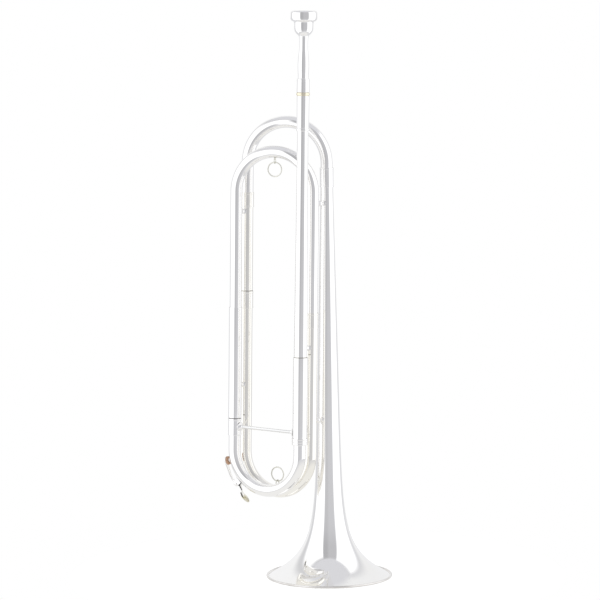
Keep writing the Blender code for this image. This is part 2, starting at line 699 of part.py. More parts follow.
def make_finger_plate(shop, key, centre):
    """A flattened oval pad, a little steeper than the arm that carries it."""
    mesh = bpy.data.meshes.new("finger_plate")
    pad = bmesh.new()
    bmesh.ops.create_uvsphere(pad, u_segments=12, v_segments=8, radius=1.0)
    bmesh.ops.scale(pad, vec=(0.0072, 0.0044, 0.0011), verts=pad.verts)
    pad.to_mesh(mesh)
    pad.free()
    tilt = math.radians(43.0)
    return shop.add("finger_plate", mesh, "silver_trim", key, centre, (0.0, tilt, 0.0))


# ---------------------------------------------------------------- cord rings
def make_cord_ring(shop, coil, name, centre_xy, along, crown_z, side):
    """A loose ring in a soldered wire eye.  side is -1 below a top bow, 1 above a bottom one."""
    heading = math.atan2(along[1], along[0])
    eye_z = crown_z + side * (JOINT_GAP + EYELET_WIRE + EYELET_RADIUS)
    grip = eye_z + side * (EYELET_RADIUS - EYELET_WIRE - CORD_RING_WIRE - 0.0001)
    eye = round_ring(name + "_eyelet", EYELET_RADIUS, EYELET_WIRE, 14, 6)
    shop.add(name + "_eyelet", eye, "silver_trim", coil, (*centre_xy, eye_z),
             (0.0, math.pi / 2, heading))
    hinge = Matrix.Translation((*centre_xy, grip)) @ Matrix.Rotation(heading, 4, "Z")
    swing = shop.frame(name + "_swing", hinge, coil)
    ring = round_ring(name, CORD_RING_RADIUS, CORD_RING_WIRE, 24, 6)
    shop.add(name, ring, "silver", swing, (0.0, 0.0, side * CORD_RING_RADIUS),
             (math.pi / 2, 0.0, 0.0))


def make_cord_rings(shop, coil):
    top_across = (LEG_SPACING, FRONT_TO_REAR)
    top_reach = math.hypot(*top_across) / 2
    make_cord_ring(shop, coil, "top_ring", (0.0, FRONT_TO_REAR / 2), top_across,
                   FRONT_TOP_Z + top_reach - TUBE_RADIUS, -1)
    make_cord_ring(shop, coil, "bottom_ring", (0.0, FRONT_TO_REAR), (1.0, 0.0),
                   REAR_BOTTOM_Z - HALF + TUBE_RADIUS, 1)


def main():
    clear_scene()
    shop = Workshop()
    coil = shop.frame("coil_frame", coil_matrix())
    slide = shop.frame("tuning_slide_frame", Matrix.Identity(4), coil)
    make_mouthpiece(shop, coil)
    make_receiver(shop, coil)
    make_mouthpipe(shop, coil)
    make_coil_tubes(shop, coil)
    make_coil_ferrules(shop, coil)
    make_bell(shop)
    make_braces(shop, coil)
    make_tuning_slide(shop, slide)
    make_key_saddle(shop, slide)
    make_key_small_parts(shop, slide)
    make_key_spring(shop, slide)
    make_water_key(shop, slide)
    make_cord_rings(shop, coil)
    bpy.context.view_layer.update()


main()
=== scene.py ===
import json
import math

import bmesh
import bpy
from mathutils import Matrix, Vector


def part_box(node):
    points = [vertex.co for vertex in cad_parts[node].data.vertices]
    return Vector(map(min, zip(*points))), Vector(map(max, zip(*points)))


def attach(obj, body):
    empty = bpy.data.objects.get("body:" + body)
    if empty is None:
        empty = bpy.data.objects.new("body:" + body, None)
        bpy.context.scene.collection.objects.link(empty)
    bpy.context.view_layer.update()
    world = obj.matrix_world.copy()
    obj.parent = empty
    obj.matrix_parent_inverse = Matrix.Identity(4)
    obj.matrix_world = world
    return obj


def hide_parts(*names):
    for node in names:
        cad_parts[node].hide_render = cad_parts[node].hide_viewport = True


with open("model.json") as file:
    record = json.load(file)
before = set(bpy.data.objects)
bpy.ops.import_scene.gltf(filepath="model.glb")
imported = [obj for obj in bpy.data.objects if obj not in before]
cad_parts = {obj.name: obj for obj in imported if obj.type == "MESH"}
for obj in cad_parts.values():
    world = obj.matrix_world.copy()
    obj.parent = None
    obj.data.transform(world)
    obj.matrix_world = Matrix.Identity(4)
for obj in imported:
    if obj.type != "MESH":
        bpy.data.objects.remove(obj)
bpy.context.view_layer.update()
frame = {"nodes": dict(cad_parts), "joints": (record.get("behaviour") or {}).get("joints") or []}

# ---- sizes, in metres
LEG_SPACING = 0.0810            # left tubes to right tubes
FRONT_TO_REAR = 0.0208          # front layer to rear layer
REAR_TO_BELL = 0.0258           # rear layer to the bell's axis
HALF = LEG_SPACING / 2
TUBE_RADIUS = 0.00625
TUBE_WALL = 0.0005
FIT_GAP = 0.0003                # play between neighbouring pieces

FRONT_TOP_Z = 0.4056            # centres of the four bows, in the coil frame
REAR_TOP_Z = 0.4350
SLIDE_BOW_Z = 0.1340
REAR_BOTTOM_Z = 0.1302

BELL_TOP_RADIUS = 0.0064
BELL_TAPER = 0.0219
BELL_FLARE = 0.0505
BELL_FLARE_FADE = 0.0243
BELL_WALL = 0.0006
BELL_RINGS = 90                 # along the bell, crowded towards its edge
BELL_CROWDING = 2.6
RIM_WIRE_RADIUS = 0.0013
RIM_WIRE_SIDES = 28
RIM_WIRE_FLAT = 0.00027         # taken off underneath, where the bell stands

SLIDE_BOW_RADIUS = 0.00635
SLIDE_FERRULE_RADIUS = 0.0071
SLEEVE_RADIUS = 0.00695
MOUTHPIPE_END_RADIUS = 0.00695
SLIDE_OUTER_RADIUS = 0.00765
SLIDE_BRACE_Z = 0.1580

KEY_NIPPLE_ANGLE = math.radians(15.4)    # below the slide bow's left end
KEY_PIVOT_ANGLE = math.radians(45.5)
KEY_PIVOT_HEIGHT = 0.0512                # from the slide bow's centre
KEY_PLATE_ANGLE = math.radians(61.5)
KEY_PLATE_HEIGHT = 0.0573
SPRING_WIRE_RADIUS = 0.0005

ROUND_STEPS = 72                # sides of a turned piece
TUBE_STEPS = 48                 # sides of a bent tube
BELL_STEPS = 160
BOW_SEGMENTS = 72
LEG_REACH = 0.009               # from a leg's axis to beyond its wall
UP = Vector((0.0, 0.0, 1.0))

MOUTHPIPE_XY = (HALF, 0.0)
FRONT_LEFT_XY = (-HALF, 0.0)
REAR_LEFT_XY = (-HALF, FRONT_TO_REAR)
MIDDLE_RIGHT_XY = (HALF, FRONT_TO_REAR)
BELL_END_XY = (HALF, FRONT_TO_REAR + REAR_TO_BELL)


# ---- places from the frame
def joint(name):
    return next(j for j in frame["joints"] if j["name"] == name)


def box_centre(node):
    low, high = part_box(node)
    return (low + high) / 2


def make_coil_matrix():
    """The coil's axes are those of the record's joints; it hangs from the bell's top."""
    up = Vector(joint("mouthpiece_pull")["axis"]).normalized()
    back = -Vector(joint("water_key_hinge")["axis"]).normalized()
    right = back.cross(up).normalized()
    lean = Matrix((right, up.cross(right), up)).transposed().to_4x4()
    bell = box_centre("bell_rim_wire")
    hinge = Vector((bell.x, bell.y, REAR_TOP_Z))
    start = Vector((*BELL_END_XY, REAR_TOP_Z))
    return Matrix.Translation(hinge) @ lean @ Matrix.Translation(-start)


COIL = make_coil_matrix()
TO_COIL = COIL.inverted()
BELL_PLACE = Matrix.Translation((*box_centre("bell_rim_wire").xy, 0))
BELL_LOW, BELL_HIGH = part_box("bell")
BELL_RIM_RADIUS = (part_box("bell_rim_wire")[1].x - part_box("bell_rim_wire")[0].x) / 2


class Span:
    """Where a straight node lies in the coil frame, and how thick it is."""

    def __init__(self, node):
        corners = [TO_COIL @ v.co for v in frame["nodes"][node].data.vertices]
        xs = [c.x for c in corners]
        ys = [c.y for c in corners]
        zs = [c.z for c in corners]
        self.xy = ((min(xs) + max(xs)) / 2, (min(ys) + max(ys)) / 2)
        self.radius = (max(xs) - min(xs)) / 2
        self.bottom = min(zs)
        self.top = max(zs)

    @property
    def place(self):
        return COIL @ Matrix.Translation((*self.xy, 0.0))


def bell_radius(z):
    """Outer radius of the bell: a straight taper with a flare that dies away upwards."""
    stem = BELL_TOP_RADIUS + BELL_TAPER * (BELL_HIGH.z - z)
    return stem + BELL_FLARE * math.exp(-z / BELL_FLARE_FADE)


def bell_axis_in_coil(z):
    """The point of the bell's axis that is level with height z of the coil frame."""
    start = Vector((*BELL_END_XY, REAR_TOP_Z))
    direction = TO_COIL.to_3x3() @ UP
    return start + direction * ((z - REAR_TOP_Z) / direction.z)


def key_point(angle, height, y=0.0):
    """A point beside the slide bow: angle below its left end, height from its centre."""
    return Vector((-height * math.cos(angle), y, SLIDE_BOW_Z - height * math.sin(angle)))


def outward_place(angle, height):
    """A place whose +Z points away from the slide bow's centre and whose Y is the coil's."""
    turn = Matrix.Rotation(-(math.pi / 2 + angle), 4, "Y")
    return COIL @ Matrix.Translation(key_point(angle, height)) @ turn


def place_between(start, end):
    """A place at start whose +Z points at end."""
    turn = (end - start).to_track_quat("Z", "Y").to_matrix().to_4x4()
    return COIL @ Matrix.Translation(start) @ turn


# ---- outlines
def rounded(points, radius, steps=4):
    """Rounds the corners of a closed outline, each by radius or by what its sides allow."""
    outline = []
    count = len(points)
    for i, corner in enumerate(points):
        here = Vector(corner)
        before = Vector(points[i - 1])
        after = Vector(points[(i + 1) % count])
        reach = min(radius, (before - here).length * 0.45, (after - here).length * 0.45)
        if here.x < 1e-9 or reach < 1e-7:
            outline.append(here)
            continue
        start = here + (before - here).normalized() * reach
        end = here + (after - here).normalized() * reach
        for step in range(steps + 1):
            t = step / steps
            outline.append(start * (1 - t) ** 2 + here * 2 * t * (1 - t) + end * t ** 2)
    return outline


def flowing(points, steps=6):
    """A smooth line through all the points."""
    spots = [Vector(p) for p in points]
    spots = [spots[0] * 2 - spots[1]] + spots + [spots[-1] * 2 - spots[-2]]
    line = []
    for a, b, c, d in zip(spots, spots[1:], spots[2:], spots[3:]):
        for step in range(steps):
            t = step / steps
            line.append(
                (b * 2 + (c - a) * t + (a * 2 - b * 5 + c * 4 - d) * t ** 2
                 + (b * 3 - a - c * 3 + d) * t ** 3) / 2
            )
    line.append(spots[-2])
    return line


def below(top, points):
    """An outline from (radius, depth below the top) points."""
    return [(r, top - depth) for r, depth in points]


def blend_steps(low, high, steps):
    return [low + (high - low) * i / steps for i in range(steps + 1)]


# ---- meshes
def bridge(work, first, second):
    """Faces between two rings, either of which may be a single point."""
    count = max(len(first), len(second))
    for i in range(count):
        j = (i + 1) % count
        corners = [first[i % len(first)], first[j % len(first)],
                   second[j % len(second)], second[i % len(second)]]
        face = []
        for corner in corners:
            if corner not in face:
                face.append(corner)
        if len(face) > 2:
            work.faces.new(face)


def loft(rings, loop=False, caps=False):
    """A bmesh skinned over rings of points; loop joins the last ring to the first."""
    work = bmesh.new()
    made = [[work.verts.new(spot) for spot in ring] for ring in rings]
    for first, second in zip(made, made[1:]):
        bridge(work, first, second)
    if loop:
        bridge(work, made[-1], made[0])
    if caps:
        work.faces.new(made[0])
        work.faces.new(list(reversed(made[-1])))
    bmesh.ops.recalc_face_normals(work, faces=work.faces)
    return work


def turned(profile, closed=True, steps=ROUND_STEPS, shift=None):
    """A piece turned about Z from (radius, height) points.

    shift(x, y, z) may give each point a new height, as for a foot shaped to a tube.
    """
    rings = []
    for r, z in profile:
        ring = []
        for step in range(steps if r > 1e-7 else 1):
            turn = 2 * math.pi * step / steps
            x = r * math.cos(turn)
            y = r * math.sin(turn)
            ring.append(Vector((x, y, shift(x, y, z) if shift else z)))
        rings.append(ring)
    return loft(rings, loop=closed)


def directions_along(path, across=None):
    """Tangent and two cross directions at each point of a path, without twist.

    With across given, the first cross direction stays as near to it as it can.
    """
    frames = []
    side = across
    last = None
    for i in range(len(path)):
        tangent = (path[min(i + 1, len(path) - 1)] - path[max(i - 1, 0)]).normalized()
        if side is None:
            side = tangent.orthogonal()
        elif across is None:
            side = last.rotation_difference(tangent) @ side
        else:
            side = across
        side = (side - tangent * side.dot(tangent)).normalized()
        frames.append((tangent, side, tangent.cross(side)))
        last = tangent
    return frames


def circle_section(radius, steps):
    turns = [2 * math.pi * step / steps for step in range(steps)]
    return [(radius * math.cos(turn), radius * math.sin(turn)) for turn in turns]


def oval_section(wide, thick, steps):
    return [(wide * a, thick * b) for a, b in circle_section(1.0, steps)]


def oval(long, short, z, steps=48):
    return [Vector((long * a, short * b, z)) for a, b in circle_section(1.0, steps)]


def swept(path, sections, across=None):
    """A solid swept along a path; sections[i] are the (across, over) offsets of ring i."""
    rings = []
    for point, (_, side, over), section in zip(path, directions_along(path, across), sections):
        rings.append([point + side * a + over * b for a, b in section])
    return loft(rings, caps=True)


def wire(path, radius, steps=16):
    """A solid round wire with softened ends."""
    first = (path[0] - path[1]).normalized() * radius * 0.5
    last = (path[-1] - path[-2]).normalized() * radius * 0.5
    line = [path[0] + first, *path, path[-1] + last]
    radii = [radius * 0.6] + [radius] * len(path) + [radius * 0.6]
    return swept(line, [circle_section(r, steps) for r in radii])


def open_tube(path, radius, wall):
    """A bent tube with a real wall and rounded lips at its open ends."""
    frames = directions_along(path)
    last = len(path) - 1
    lip = wall / 2
    rows = [(0, radius - lip, -0.6 * lip)]
    rows += [(i, radius, 0.0) for i in range(len(path))]
    rows += [(last, radius - lip, 0.6 * lip)]
    rows += [(i, radius - wall, 0.0) for i in reversed(range(len(path)))]
    rings = []
    for i, r, push in rows:
        tangent, side, over = frames[i]
        middle = path[i] + tangent * push
        rings.append([middle + side * a + over * b for a, b in circle_section(r, TUBE_STEPS)])
    return loft(rings, loop=True)


def torus(radius, section):
    """A closed ring in its own XY plane from (outward, up) section points."""
    return turned([(radius + a, b) for a, b in section])


def settle(work, matrix):
    """Moves a bmesh to its place in the piece it will be joined into."""
    bmesh.ops.transform(work, matrix=matrix, verts=work.verts)


def new_object(name, work):
    """An object of the scene, made from a bmesh."""
    mesh = bpy.data.meshes.new(name)
    work.to_mesh(mesh)
    work.free()
    made = bpy.data.objects.new(name, mesh)
    bpy.context.scene.collection.objects.link(made)
    return made


def carved(work, cutter):
    """The bmesh with the cutter's shape taken out of it."""
    scraps = [new_object("carved", work), new_object("cutter", cutter)]
    cut = scraps[0].modifiers.new("cut", "BOOLEAN")
    cut.operation = "DIFFERENCE"
    cut.object = scraps[1]
    graph = bpy.context.evaluated_depsgraph_get()
    result = bmesh.new()
    result.from_mesh(scraps[0].evaluated_get(graph).data)
    for scrap in scraps:
        bpy.data.objects.remove(scrap, do_unlink=True)
    return result


def join(*works):
    """One bmesh from several."""
    whole = works[0]
    for other in works[1:]:
        loose = bpy.data.meshes.new("loose")
        other.to_mesh(loose)
        other.free()
        whole.from_mesh(loose)
        bpy.data.meshes.remove(loose)
    return whole


# ---- materials
def new_material(name, metallic, roughness):
    material = bpy.data.materials.new(name)
    material.use_nodes = True
    shader = material.node_tree.nodes["Principled BSDF"]
    shader.inputs["Metallic"].default_value = metallic
    shader.inputs["Roughness"].default_value = roughness
    return material, material.node_tree, shader


def noise(tree, scale, detail, stretch=(1.0, 1.0, 1.0)):
    """A noise in object coordinates, scaled unevenly by stretch."""
    place = tree.nodes.new("ShaderNodeTexCoord")
    mapping = tree.nodes.new("ShaderNodeMapping")
    mapping.inputs["Scale"].default_value = stretch
    texture = tree.nodes.new("ShaderNodeTexNoise")
    texture.inputs["Scale"].default_value = scale
    texture.inputs["Detail"].default_value = detail
    tree.links.new(place.outputs["Object"], mapping.inputs["Vector"])
    tree.links.new(mapping.outputs["Vector"], texture.inputs["Vector"])
    return texture.outputs["Fac"]


def coordinates(tree, kind):
    """The x, y and z of a point of a piece as it is at rest, or of a direction of the world."""
    place = tree.nodes.new("ShaderNodeTexCoord")
    split = tree.nodes.new("ShaderNodeSeparateXYZ")
    tree.links.new(place.outputs[kind], split.inputs["Vector"])
    return list(split.outputs)


def ramp(tree, factor, stops):
    """Colours along a factor: stops is a list of (place, colour)."""
    node = tree.nodes.new("ShaderNodeValToRGB")
    node.color_ramp.elements[0].position = stops[0][0]
    node.color_ramp.elements[0].color = (*stops[0][1], 1.0)
    node.color_ramp.elements[1].position = stops[-1][0]
    node.color_ramp.elements[1].color = (*stops[-1][1], 1.0)
    for spot, colour in stops[1:-1]:
        element = node.color_ramp.elements.new(spot)
        element.color = (*colour, 1.0)
    tree.links.new(factor, node.inputs["Fac"])
    return node.outputs["Color"]


def math_node(tree, operation, *values):
    node = tree.nodes.new("ShaderNodeMath")
    node.operation = operation
    for socket, value in zip(node.inputs, values):
        if isinstance(value, (int, float)):
            socket.default_value = value
        else:
            tree.links.new(value, socket)
    return node.outputs["Value"]


def times(tree, first, second):
    return math_node(tree, "MULTIPLY", first, second)


def opposite(tree, share):
    return math_node(tree, "SUBTRACT", 1.0, share)


def mixed(tree, factor, first, second):
    """A mix of two colours, each either a fixed colour or another node's output."""
    node = tree.nodes.new("ShaderNodeMix")
    node.data_type = "RGBA"
    tree.links.new(factor, node.inputs["Factor"])
    for name, colour in (("A", first), ("B", second)):
        socket = next(i for i in node.inputs if i.name == name and i.type == "RGBA")
        if isinstance(colour, tuple):
            socket.default_value = (*colour, 1.0)
        else:
            tree.links.new(colour, socket)
    return next(o for o in node.outputs if o.type == "RGBA")


def spread(tree, factor, low, high):
    """A factor's middle range stretched from low to high."""
    node = tree.nodes.new("ShaderNodeMapRange")
    node.inputs["From Min"].default_value = 0.35
    node.inputs["From Max"].default_value = 0.65
    node.inputs["To Min"].default_value = low
    node.inputs["To Max"].default_value = high
    tree.links.new(factor, node.inputs["Value"])
    return node.outputs["Result"]


def bumped(tree, shader, height, distance, strength):
    bump = tree.nodes.new("ShaderNodeBump")
    bump.inputs["Strength"].default_value = strength
    bump.inputs["Distance"].default_value = distance
    tree.links.new(height, bump.inputs["Height"])
    tree.links.new(bump.outputs["Normal"], shader.inputs["Normal"])


def scratched_metal(name, clean, dull, smooth, rough, scratch):
    """Polished metal: a faint haze in patches and hairline scratches from wiping."""
    material, tree, shader = new_material(name, 1.0, smooth)
    haze = noise(tree, 28.0, 3.0)
    tree.links.new(ramp(tree, haze, [(0.35, clean), (0.70, dull)]), shader.inputs["Base Color"])
    wiped = noise(tree, 60.0, 2.0)
    tree.links.new(spread(tree, wiped, smooth, rough), shader.inputs["Roughness"])
    hairs = noise(tree, 900.0, 2.0, (1.0, 1.0, 0.04))
    bumped(tree, shader, hairs, 0.00002, scratch)
    return material


def joint_height(xy, node):
    """World height, on a leg of the coil, of the upper end of a straight node."""
    return (COIL @ Vector((*xy, Span(node).top))).z


def colour_of(material):
    """Its node tree, its shader's colour socket and what feeds that now."""
    tree = material.node_tree
    socket = tree.nodes["Principled BSDF"].inputs["Base Color"]
    return tree, socket, socket.links[0].from_socket


def add_ring(material, height, half_width, ring_colour):
    """Puts a dark ring with a ragged edge round a metal at a given height, where a joint is."""
    tree, socket, metal = colour_of(material)
    z = coordinates(tree, "Object")[2]
    away = math_node(tree, "ABSOLUTE", math_node(tree, "SUBTRACT", z, height))
    smeared = math_node(tree, "ADD", away, times(tree, noise(tree, 400.0, 2.0), 0.0004))
    clear = math_node(tree, "GREATER_THAN", smeared, half_width)
    tree.links.new(mixed(tree, clear, ring_colour, metal), socket)


def worn_metal(name, clean, dull, worn, height):
    """Polished metal whose plating is rubbed thin below a height, as under a finger."""
    material = scratched_metal(name, clean, dull, 0.06, 0.14, 0.12)
    tree, socket, metal = colour_of(material)
    depth = math_node(tree, "SUBTRACT", height, coordinates(tree, "Object")[2])
    ragged = math_node(tree, "ADD", depth, times(tree, noise(tree, 300.0, 3.0), 0.004))
    rubbed = spread(tree, times(tree, ragged, 120.0), 0.0, 1.0)
    tree.links.new(mixed(tree, rubbed, metal, worn), socket)
    return material


def cork_material():
    """Brown cork with darker grains and pits."""
    material, tree, shader = new_material("cork", 0.0, 0.85)
    grains = noise(tree, 1400.0, 3.0)
    light = (0.76, 0.50, 0.33)
    dark = (0.40, 0.21, 0.125)
    tree.links.new(ramp(tree, grains, [(0.38, dark), (0.62, light)]), shader.inputs["Base Color"])
    tree.links.new(spread(tree, noise(tree, 900.0, 2.0), 0.75, 0.95), shader.inputs["Roughness"])
    bumped(tree, shader, grains, 0.0002, 0.5)
    return material


def make_materials():
    """The record's five finishes, and the silver ones again where they have worn, aged or taken grease,
    or where their colour holds painted shade or a painted warm reflection.
    """
    silver = (0.968, 0.960, 0.945)
    hazy = (0.955, 0.944, 0.922)
    # warm and warmer tint the rear layer: a painted warm reflection of the tubes around it
    warm = (0.972, 0.956, 0.910)
    warmer = (0.955, 0.932, 0.870)
    tarnish = (0.84, 0.83, 0.76)
    black = (0.58, 0.57, 0.50)
    # grease_and_shade: grease at the slide's joint, darkened further as painted shade in the joint
    grease_and_shade = (0.085, 0.075, 0.068)
    joint_ring_grey = (0.42, 0.40, 0.35)
    bright = (0.035, 0.060, 0.06)   # least roughness, most roughness and scratches
    plain = (0.050, 0.090, 0.10)
    aged = (0.15, 0.30, 0.15)
    metals = {
        "silver_plate": (silver, hazy, *bright),
        "silver_trim": (silver, hazy, *plain),
        "grease_and_shade_plate": (silver, hazy, *plain),
        "mouthpipe_plate": (silver, hazy, *bright),
        # the rear layer's plate and trim, with the painted warm reflection tint
        "warm_reflection_plate": (warm, warmer, *bright),
        "warm_reflection_trim": (warm, warmer, *plain),
        "rear_left_plate": (warm, warmer, *bright),
        # painted shade: the slide brace rod's plate is darker all over for the shade along its edges
        "shaded_rod_plate": ((0.86, 0.858, 0.845), (0.83, 0.828, 0.812), *plain),
        "tarnished_plate": (tarnish, black, *aged),
        "tarnished_trim": (tarnish, black, *aged),
        "rim_trim": ((0.86, 0.840, 0.815), (0.66, 0.635, 0.60), 0.10, 0.22, 0.15),
        "gilt_ring": ((0.95, 0.90, 0.74), (0.91, 0.83, 0.62), 0.10, 0.20, 0.20),
        "spring_steel": ((0.060, 0.060, 0.065), (0.030, 0.030, 0.033), 0.25, 0.40, 0.30),
    }
    made = {name: scratched_metal(name, *look) for name, look in metals.items()}
    for finish, xy, node, half_width, ring_colour in (
        # the slide's inner leg: a ring of grease and painted shade at the left ferrule's end
        ("grease_and_shade_plate", FRONT_LEFT_XY, "slide_left_ferrule", 0.0014, grease_and_shade),
        # dark grey rings at the slide's outer leg and at the rear left lower ferrule
        ("mouthpipe_plate", MOUTHPIPE_XY, "slide_outer_leg", 0.0010, joint_ring_grey),
        ("rear_left_plate", REAR_LEFT_XY, "rear_left_lower_ferrule", 0.0010, joint_ring_grey),
    ):
        add_ring(made[finish], joint_height(xy, node), half_width, ring_colour)
    worn_height = joint("water_key_hinge")["pos_m"][2] - 0.010
    made["worn_trim"] = worn_metal("worn_trim", silver, hazy, (0.74, 0.71, 0.58), worn_height)
    made["cork"] = cork_material()
    return made


MATERIALS = make_materials()
SHARP_ANGLE = math.radians(50.0)


def put(node, work, place, body, finish, name=None):
    """Turns a bmesh into a piece that rides on a body and stands for its CAD node."""
    settle(work, place)
    piece = new_object(name or node + "_fine", work)
    piece.data.shade_smooth()
    piece.data.set_sharp_from_angle(angle=SHARP_ANGLE)
    piece.data.materials.append(MATERIALS[finish])
    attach(piece, body)
    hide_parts(node)


# ---- bell
def make_bell():
    """A spun horn: its outer line down to the edge and its inner line back up."""
    edge = BELL_LOW.z
    top = BELL_HIGH.z
    shares = blend_steps(1.0, 0.0, BELL_RINGS)
    heights = [edge + (top - edge) * share ** BELL_CROWDING for share in shares]
    outer = [(bell_radius(z), z) for z in heights]
    inner = []
    for z in reversed(heights):
        slope = (bell_radius(z + 0.0001) - bell_radius(z - 0.0001)) / 0.0002
        reach = BELL_WALL / math.hypot(1.0, slope)
        inner.append((bell_radius(z) - reach, z + slope * reach))
    put("bell", turned(outer + inner, steps=BELL_STEPS), BELL_PLACE, "trumpet_frame",
        "silver_plate")


def make_rim_wire():
    """The beaded edge, flattened underneath where the bell stands."""
    middle = BELL_RIM_RADIUS - RIM_WIRE_RADIUS
    section = []
    for out, up in circle_section(RIM_WIRE_RADIUS, RIM_WIRE_SIDES):
        height = max(RIM_WIRE_RADIUS + up, RIM_WIRE_FLAT) - RIM_WIRE_FLAT
        section.append((middle + out, height))
    put("bell_rim_wire", turned(section, steps=BELL_STEPS), BELL_PLACE, "trumpet_frame",
        "rim_trim", name="rim_wire_fine")


# ---- ferrules and tubes
def ferrule_outline(top, bottom, inner, outer, lip_top=True, lip_bottom=True):
    """A sleeve with a raised band and a thin step at each end."""
    band = 0.0013
    waist = outer - 0.00022
    thin = inner + 0.00016
    step = 0.0005
    points = []
    if lip_top:
        points += [(thin, top), (thin, top - step), (outer, top - step)]
    else:
        points += [(outer, top)]
    points += [(outer, top - band - step), (waist, top - band - step - 0.00025),
               (waist, bottom + band + step + 0.00025), (outer, bottom + band + step)]
    if lip_bottom:
        points += [(outer, bottom + step), (thin, bottom + step), (thin, bottom)]
    else:
        points += [(outer, bottom)]
    points += [(inner, bottom), (inner, top)]
    return rounded(points, 0.00035)


def make_ferrule(node, body, inner, outer, place=None, top=None, bottom=None,
                 finish="silver_trim", **lips):
    span = Span(node)
    outline = ferrule_outline(span.top if top is None else top,
                              span.bottom if bottom is None else bottom, inner, outer, **lips)
    put(node, turned(outline), place or span.place, body, finish)


def make_straight_tube(node, body, wall, finish="silver_plate"):
    span = Span(node)
    outline = rounded([(span.radius, span.top), (span.radius, span.bottom),
                       (span.radius - wall, span.bottom), (span.radius - wall, span.top)], 0.0002)
    put(node, turned(outline), span.place, body, finish)


def bow_path(left_xy, right_xy, centre_z, rise, left_end, right_end):
    """Along the left leg, round half a turn and back along the right leg."""
    left = Vector((*left_xy, centre_z))
    right = Vector((*right_xy, centre_z))
    middle = (left + right) / 2
    across = (right - left) / 2
    path = [Vector((*left_xy, left_end))]
    for step in range(BOW_SEGMENTS + 1):
        turn = math.pi * step / BOW_SEGMENTS
        over = UP * (rise * across.length * math.sin(turn))
        path.append(middle - across * math.cos(turn) + over)
    path.append(Vector((*right_xy, right_end)))
    return path


def make_bow(node, body, left_xy, right_xy, centre_z, rise, radius, finish="silver_plate"):
    """A bow with its two legs, which are as long as those of its CAD node."""
    farthest = min if rise > 0 else max
    corners = [TO_COIL @ v.co for v in frame["nodes"][node].data.vertices]

    def leg_end(xy):
        return farthest(c.z for c in corners if math.dist(c.xy, xy) < LEG_REACH)

    path = bow_path(left_xy, right_xy, centre_z, rise, leg_end(left_xy), leg_end(right_xy))
    put(node, open_tube(path, radius, TUBE_WALL), COIL, body, finish)


def make_coil():
    frame_body = "trumpet_frame"
    make_bow("front_top_bow", frame_body, FRONT_LEFT_XY, MIDDLE_RIGHT_XY, FRONT_TOP_Z, 1, TUBE_RADIUS)
    make_bow("rear_top_bow", frame_body, REAR_LEFT_XY, BELL_END_XY, REAR_TOP_Z, 1, TUBE_RADIUS)
    # the rear bottom bow, rear left tube and rear ferrules take the painted warm reflection tint
    make_bow("rear_bottom_bow", frame_body, REAR_LEFT_XY, MIDDLE_RIGHT_XY, REAR_BOTTOM_Z, -1,
             TUBE_RADIUS, "warm_reflection_plate")
    make_straight_tube("rear_left_tube", frame_body, TUBE_WALL, "rear_left_plate")
    make_straight_tube("slide_sleeve", frame_body, 0.0004)
    inner = TUBE_RADIUS + FIT_GAP
    for node in ("middle_right_ferrule", "rear_left_lower_ferrule", "rear_left_upper_ferrule"):
        make_ferrule(node, frame_body, inner, 0.0070, finish="warm_reflection_trim")
    low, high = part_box("bell_ferrule")
    make_ferrule("bell_ferrule", frame_body, 0.00692, 0.00735, BELL_PLACE, high.z, low.z)


# ---- mouthpiece end
def make_mouthpipe():
    span = Span("mouthpipe")
    top_radius = 0.00555
    straight = 0.2500
    outer = [(top_radius, span.top), (MOUTHPIPE_END_RADIUS, straight),
             (MOUTHPIPE_END_RADIUS, span.bottom)]
    inner = [(r - TUBE_WALL, z) for r, z in reversed(outer)]
    put("mouthpipe", turned(rounded(outer + inner, 0.0002)), span.place, "trumpet_frame",
        "mouthpipe_plate")


def make_receiver():
    """The mouthpiece's socket, with a groove for the gilt ring and a bead at its foot."""
    span = Span("mouthpiece_receiver")
    top = span.top
    bottom = span.bottom
    socket_end = top - 0.0259
    outline = below(top, [
        (0.0062, 0.0), (0.0066, 0.0009), (0.0067, 0.0020), (0.0065, 0.0026),
        (0.0067, 0.0140), (0.0061, 0.0143), (0.0061, 0.0175), (0.0066, 0.0178),
    ])
    outline += [
        (0.0064, bottom + 0.0040), (0.0066, bottom + 0.0036), (0.0064, bottom + 0.0030),
        (0.0069, bottom + 0.0022), (0.0069, bottom + 0.0006),
        (0.0063, bottom), (0.00605, bottom), (0.00605, socket_end), (0.0054, socket_end),
        (0.0059, top),
    ]
    put("mouthpiece_receiver", turned(rounded(outline, 0.0004)), span.place, "trumpet_frame",
        "silver_plate", name="receiver_fine")
    middle = top - 0.0159
    half = 0.0013
    ring = [(0.0068, middle + half), (0.0071, middle), (0.0068, middle - half),
            (0.0064, middle - half), (0.0064, middle + half)]
    put("receiver_ring", turned(rounded(ring, 0.0006, 6)), span.place, "trumpet_frame",
        "gilt_ring")


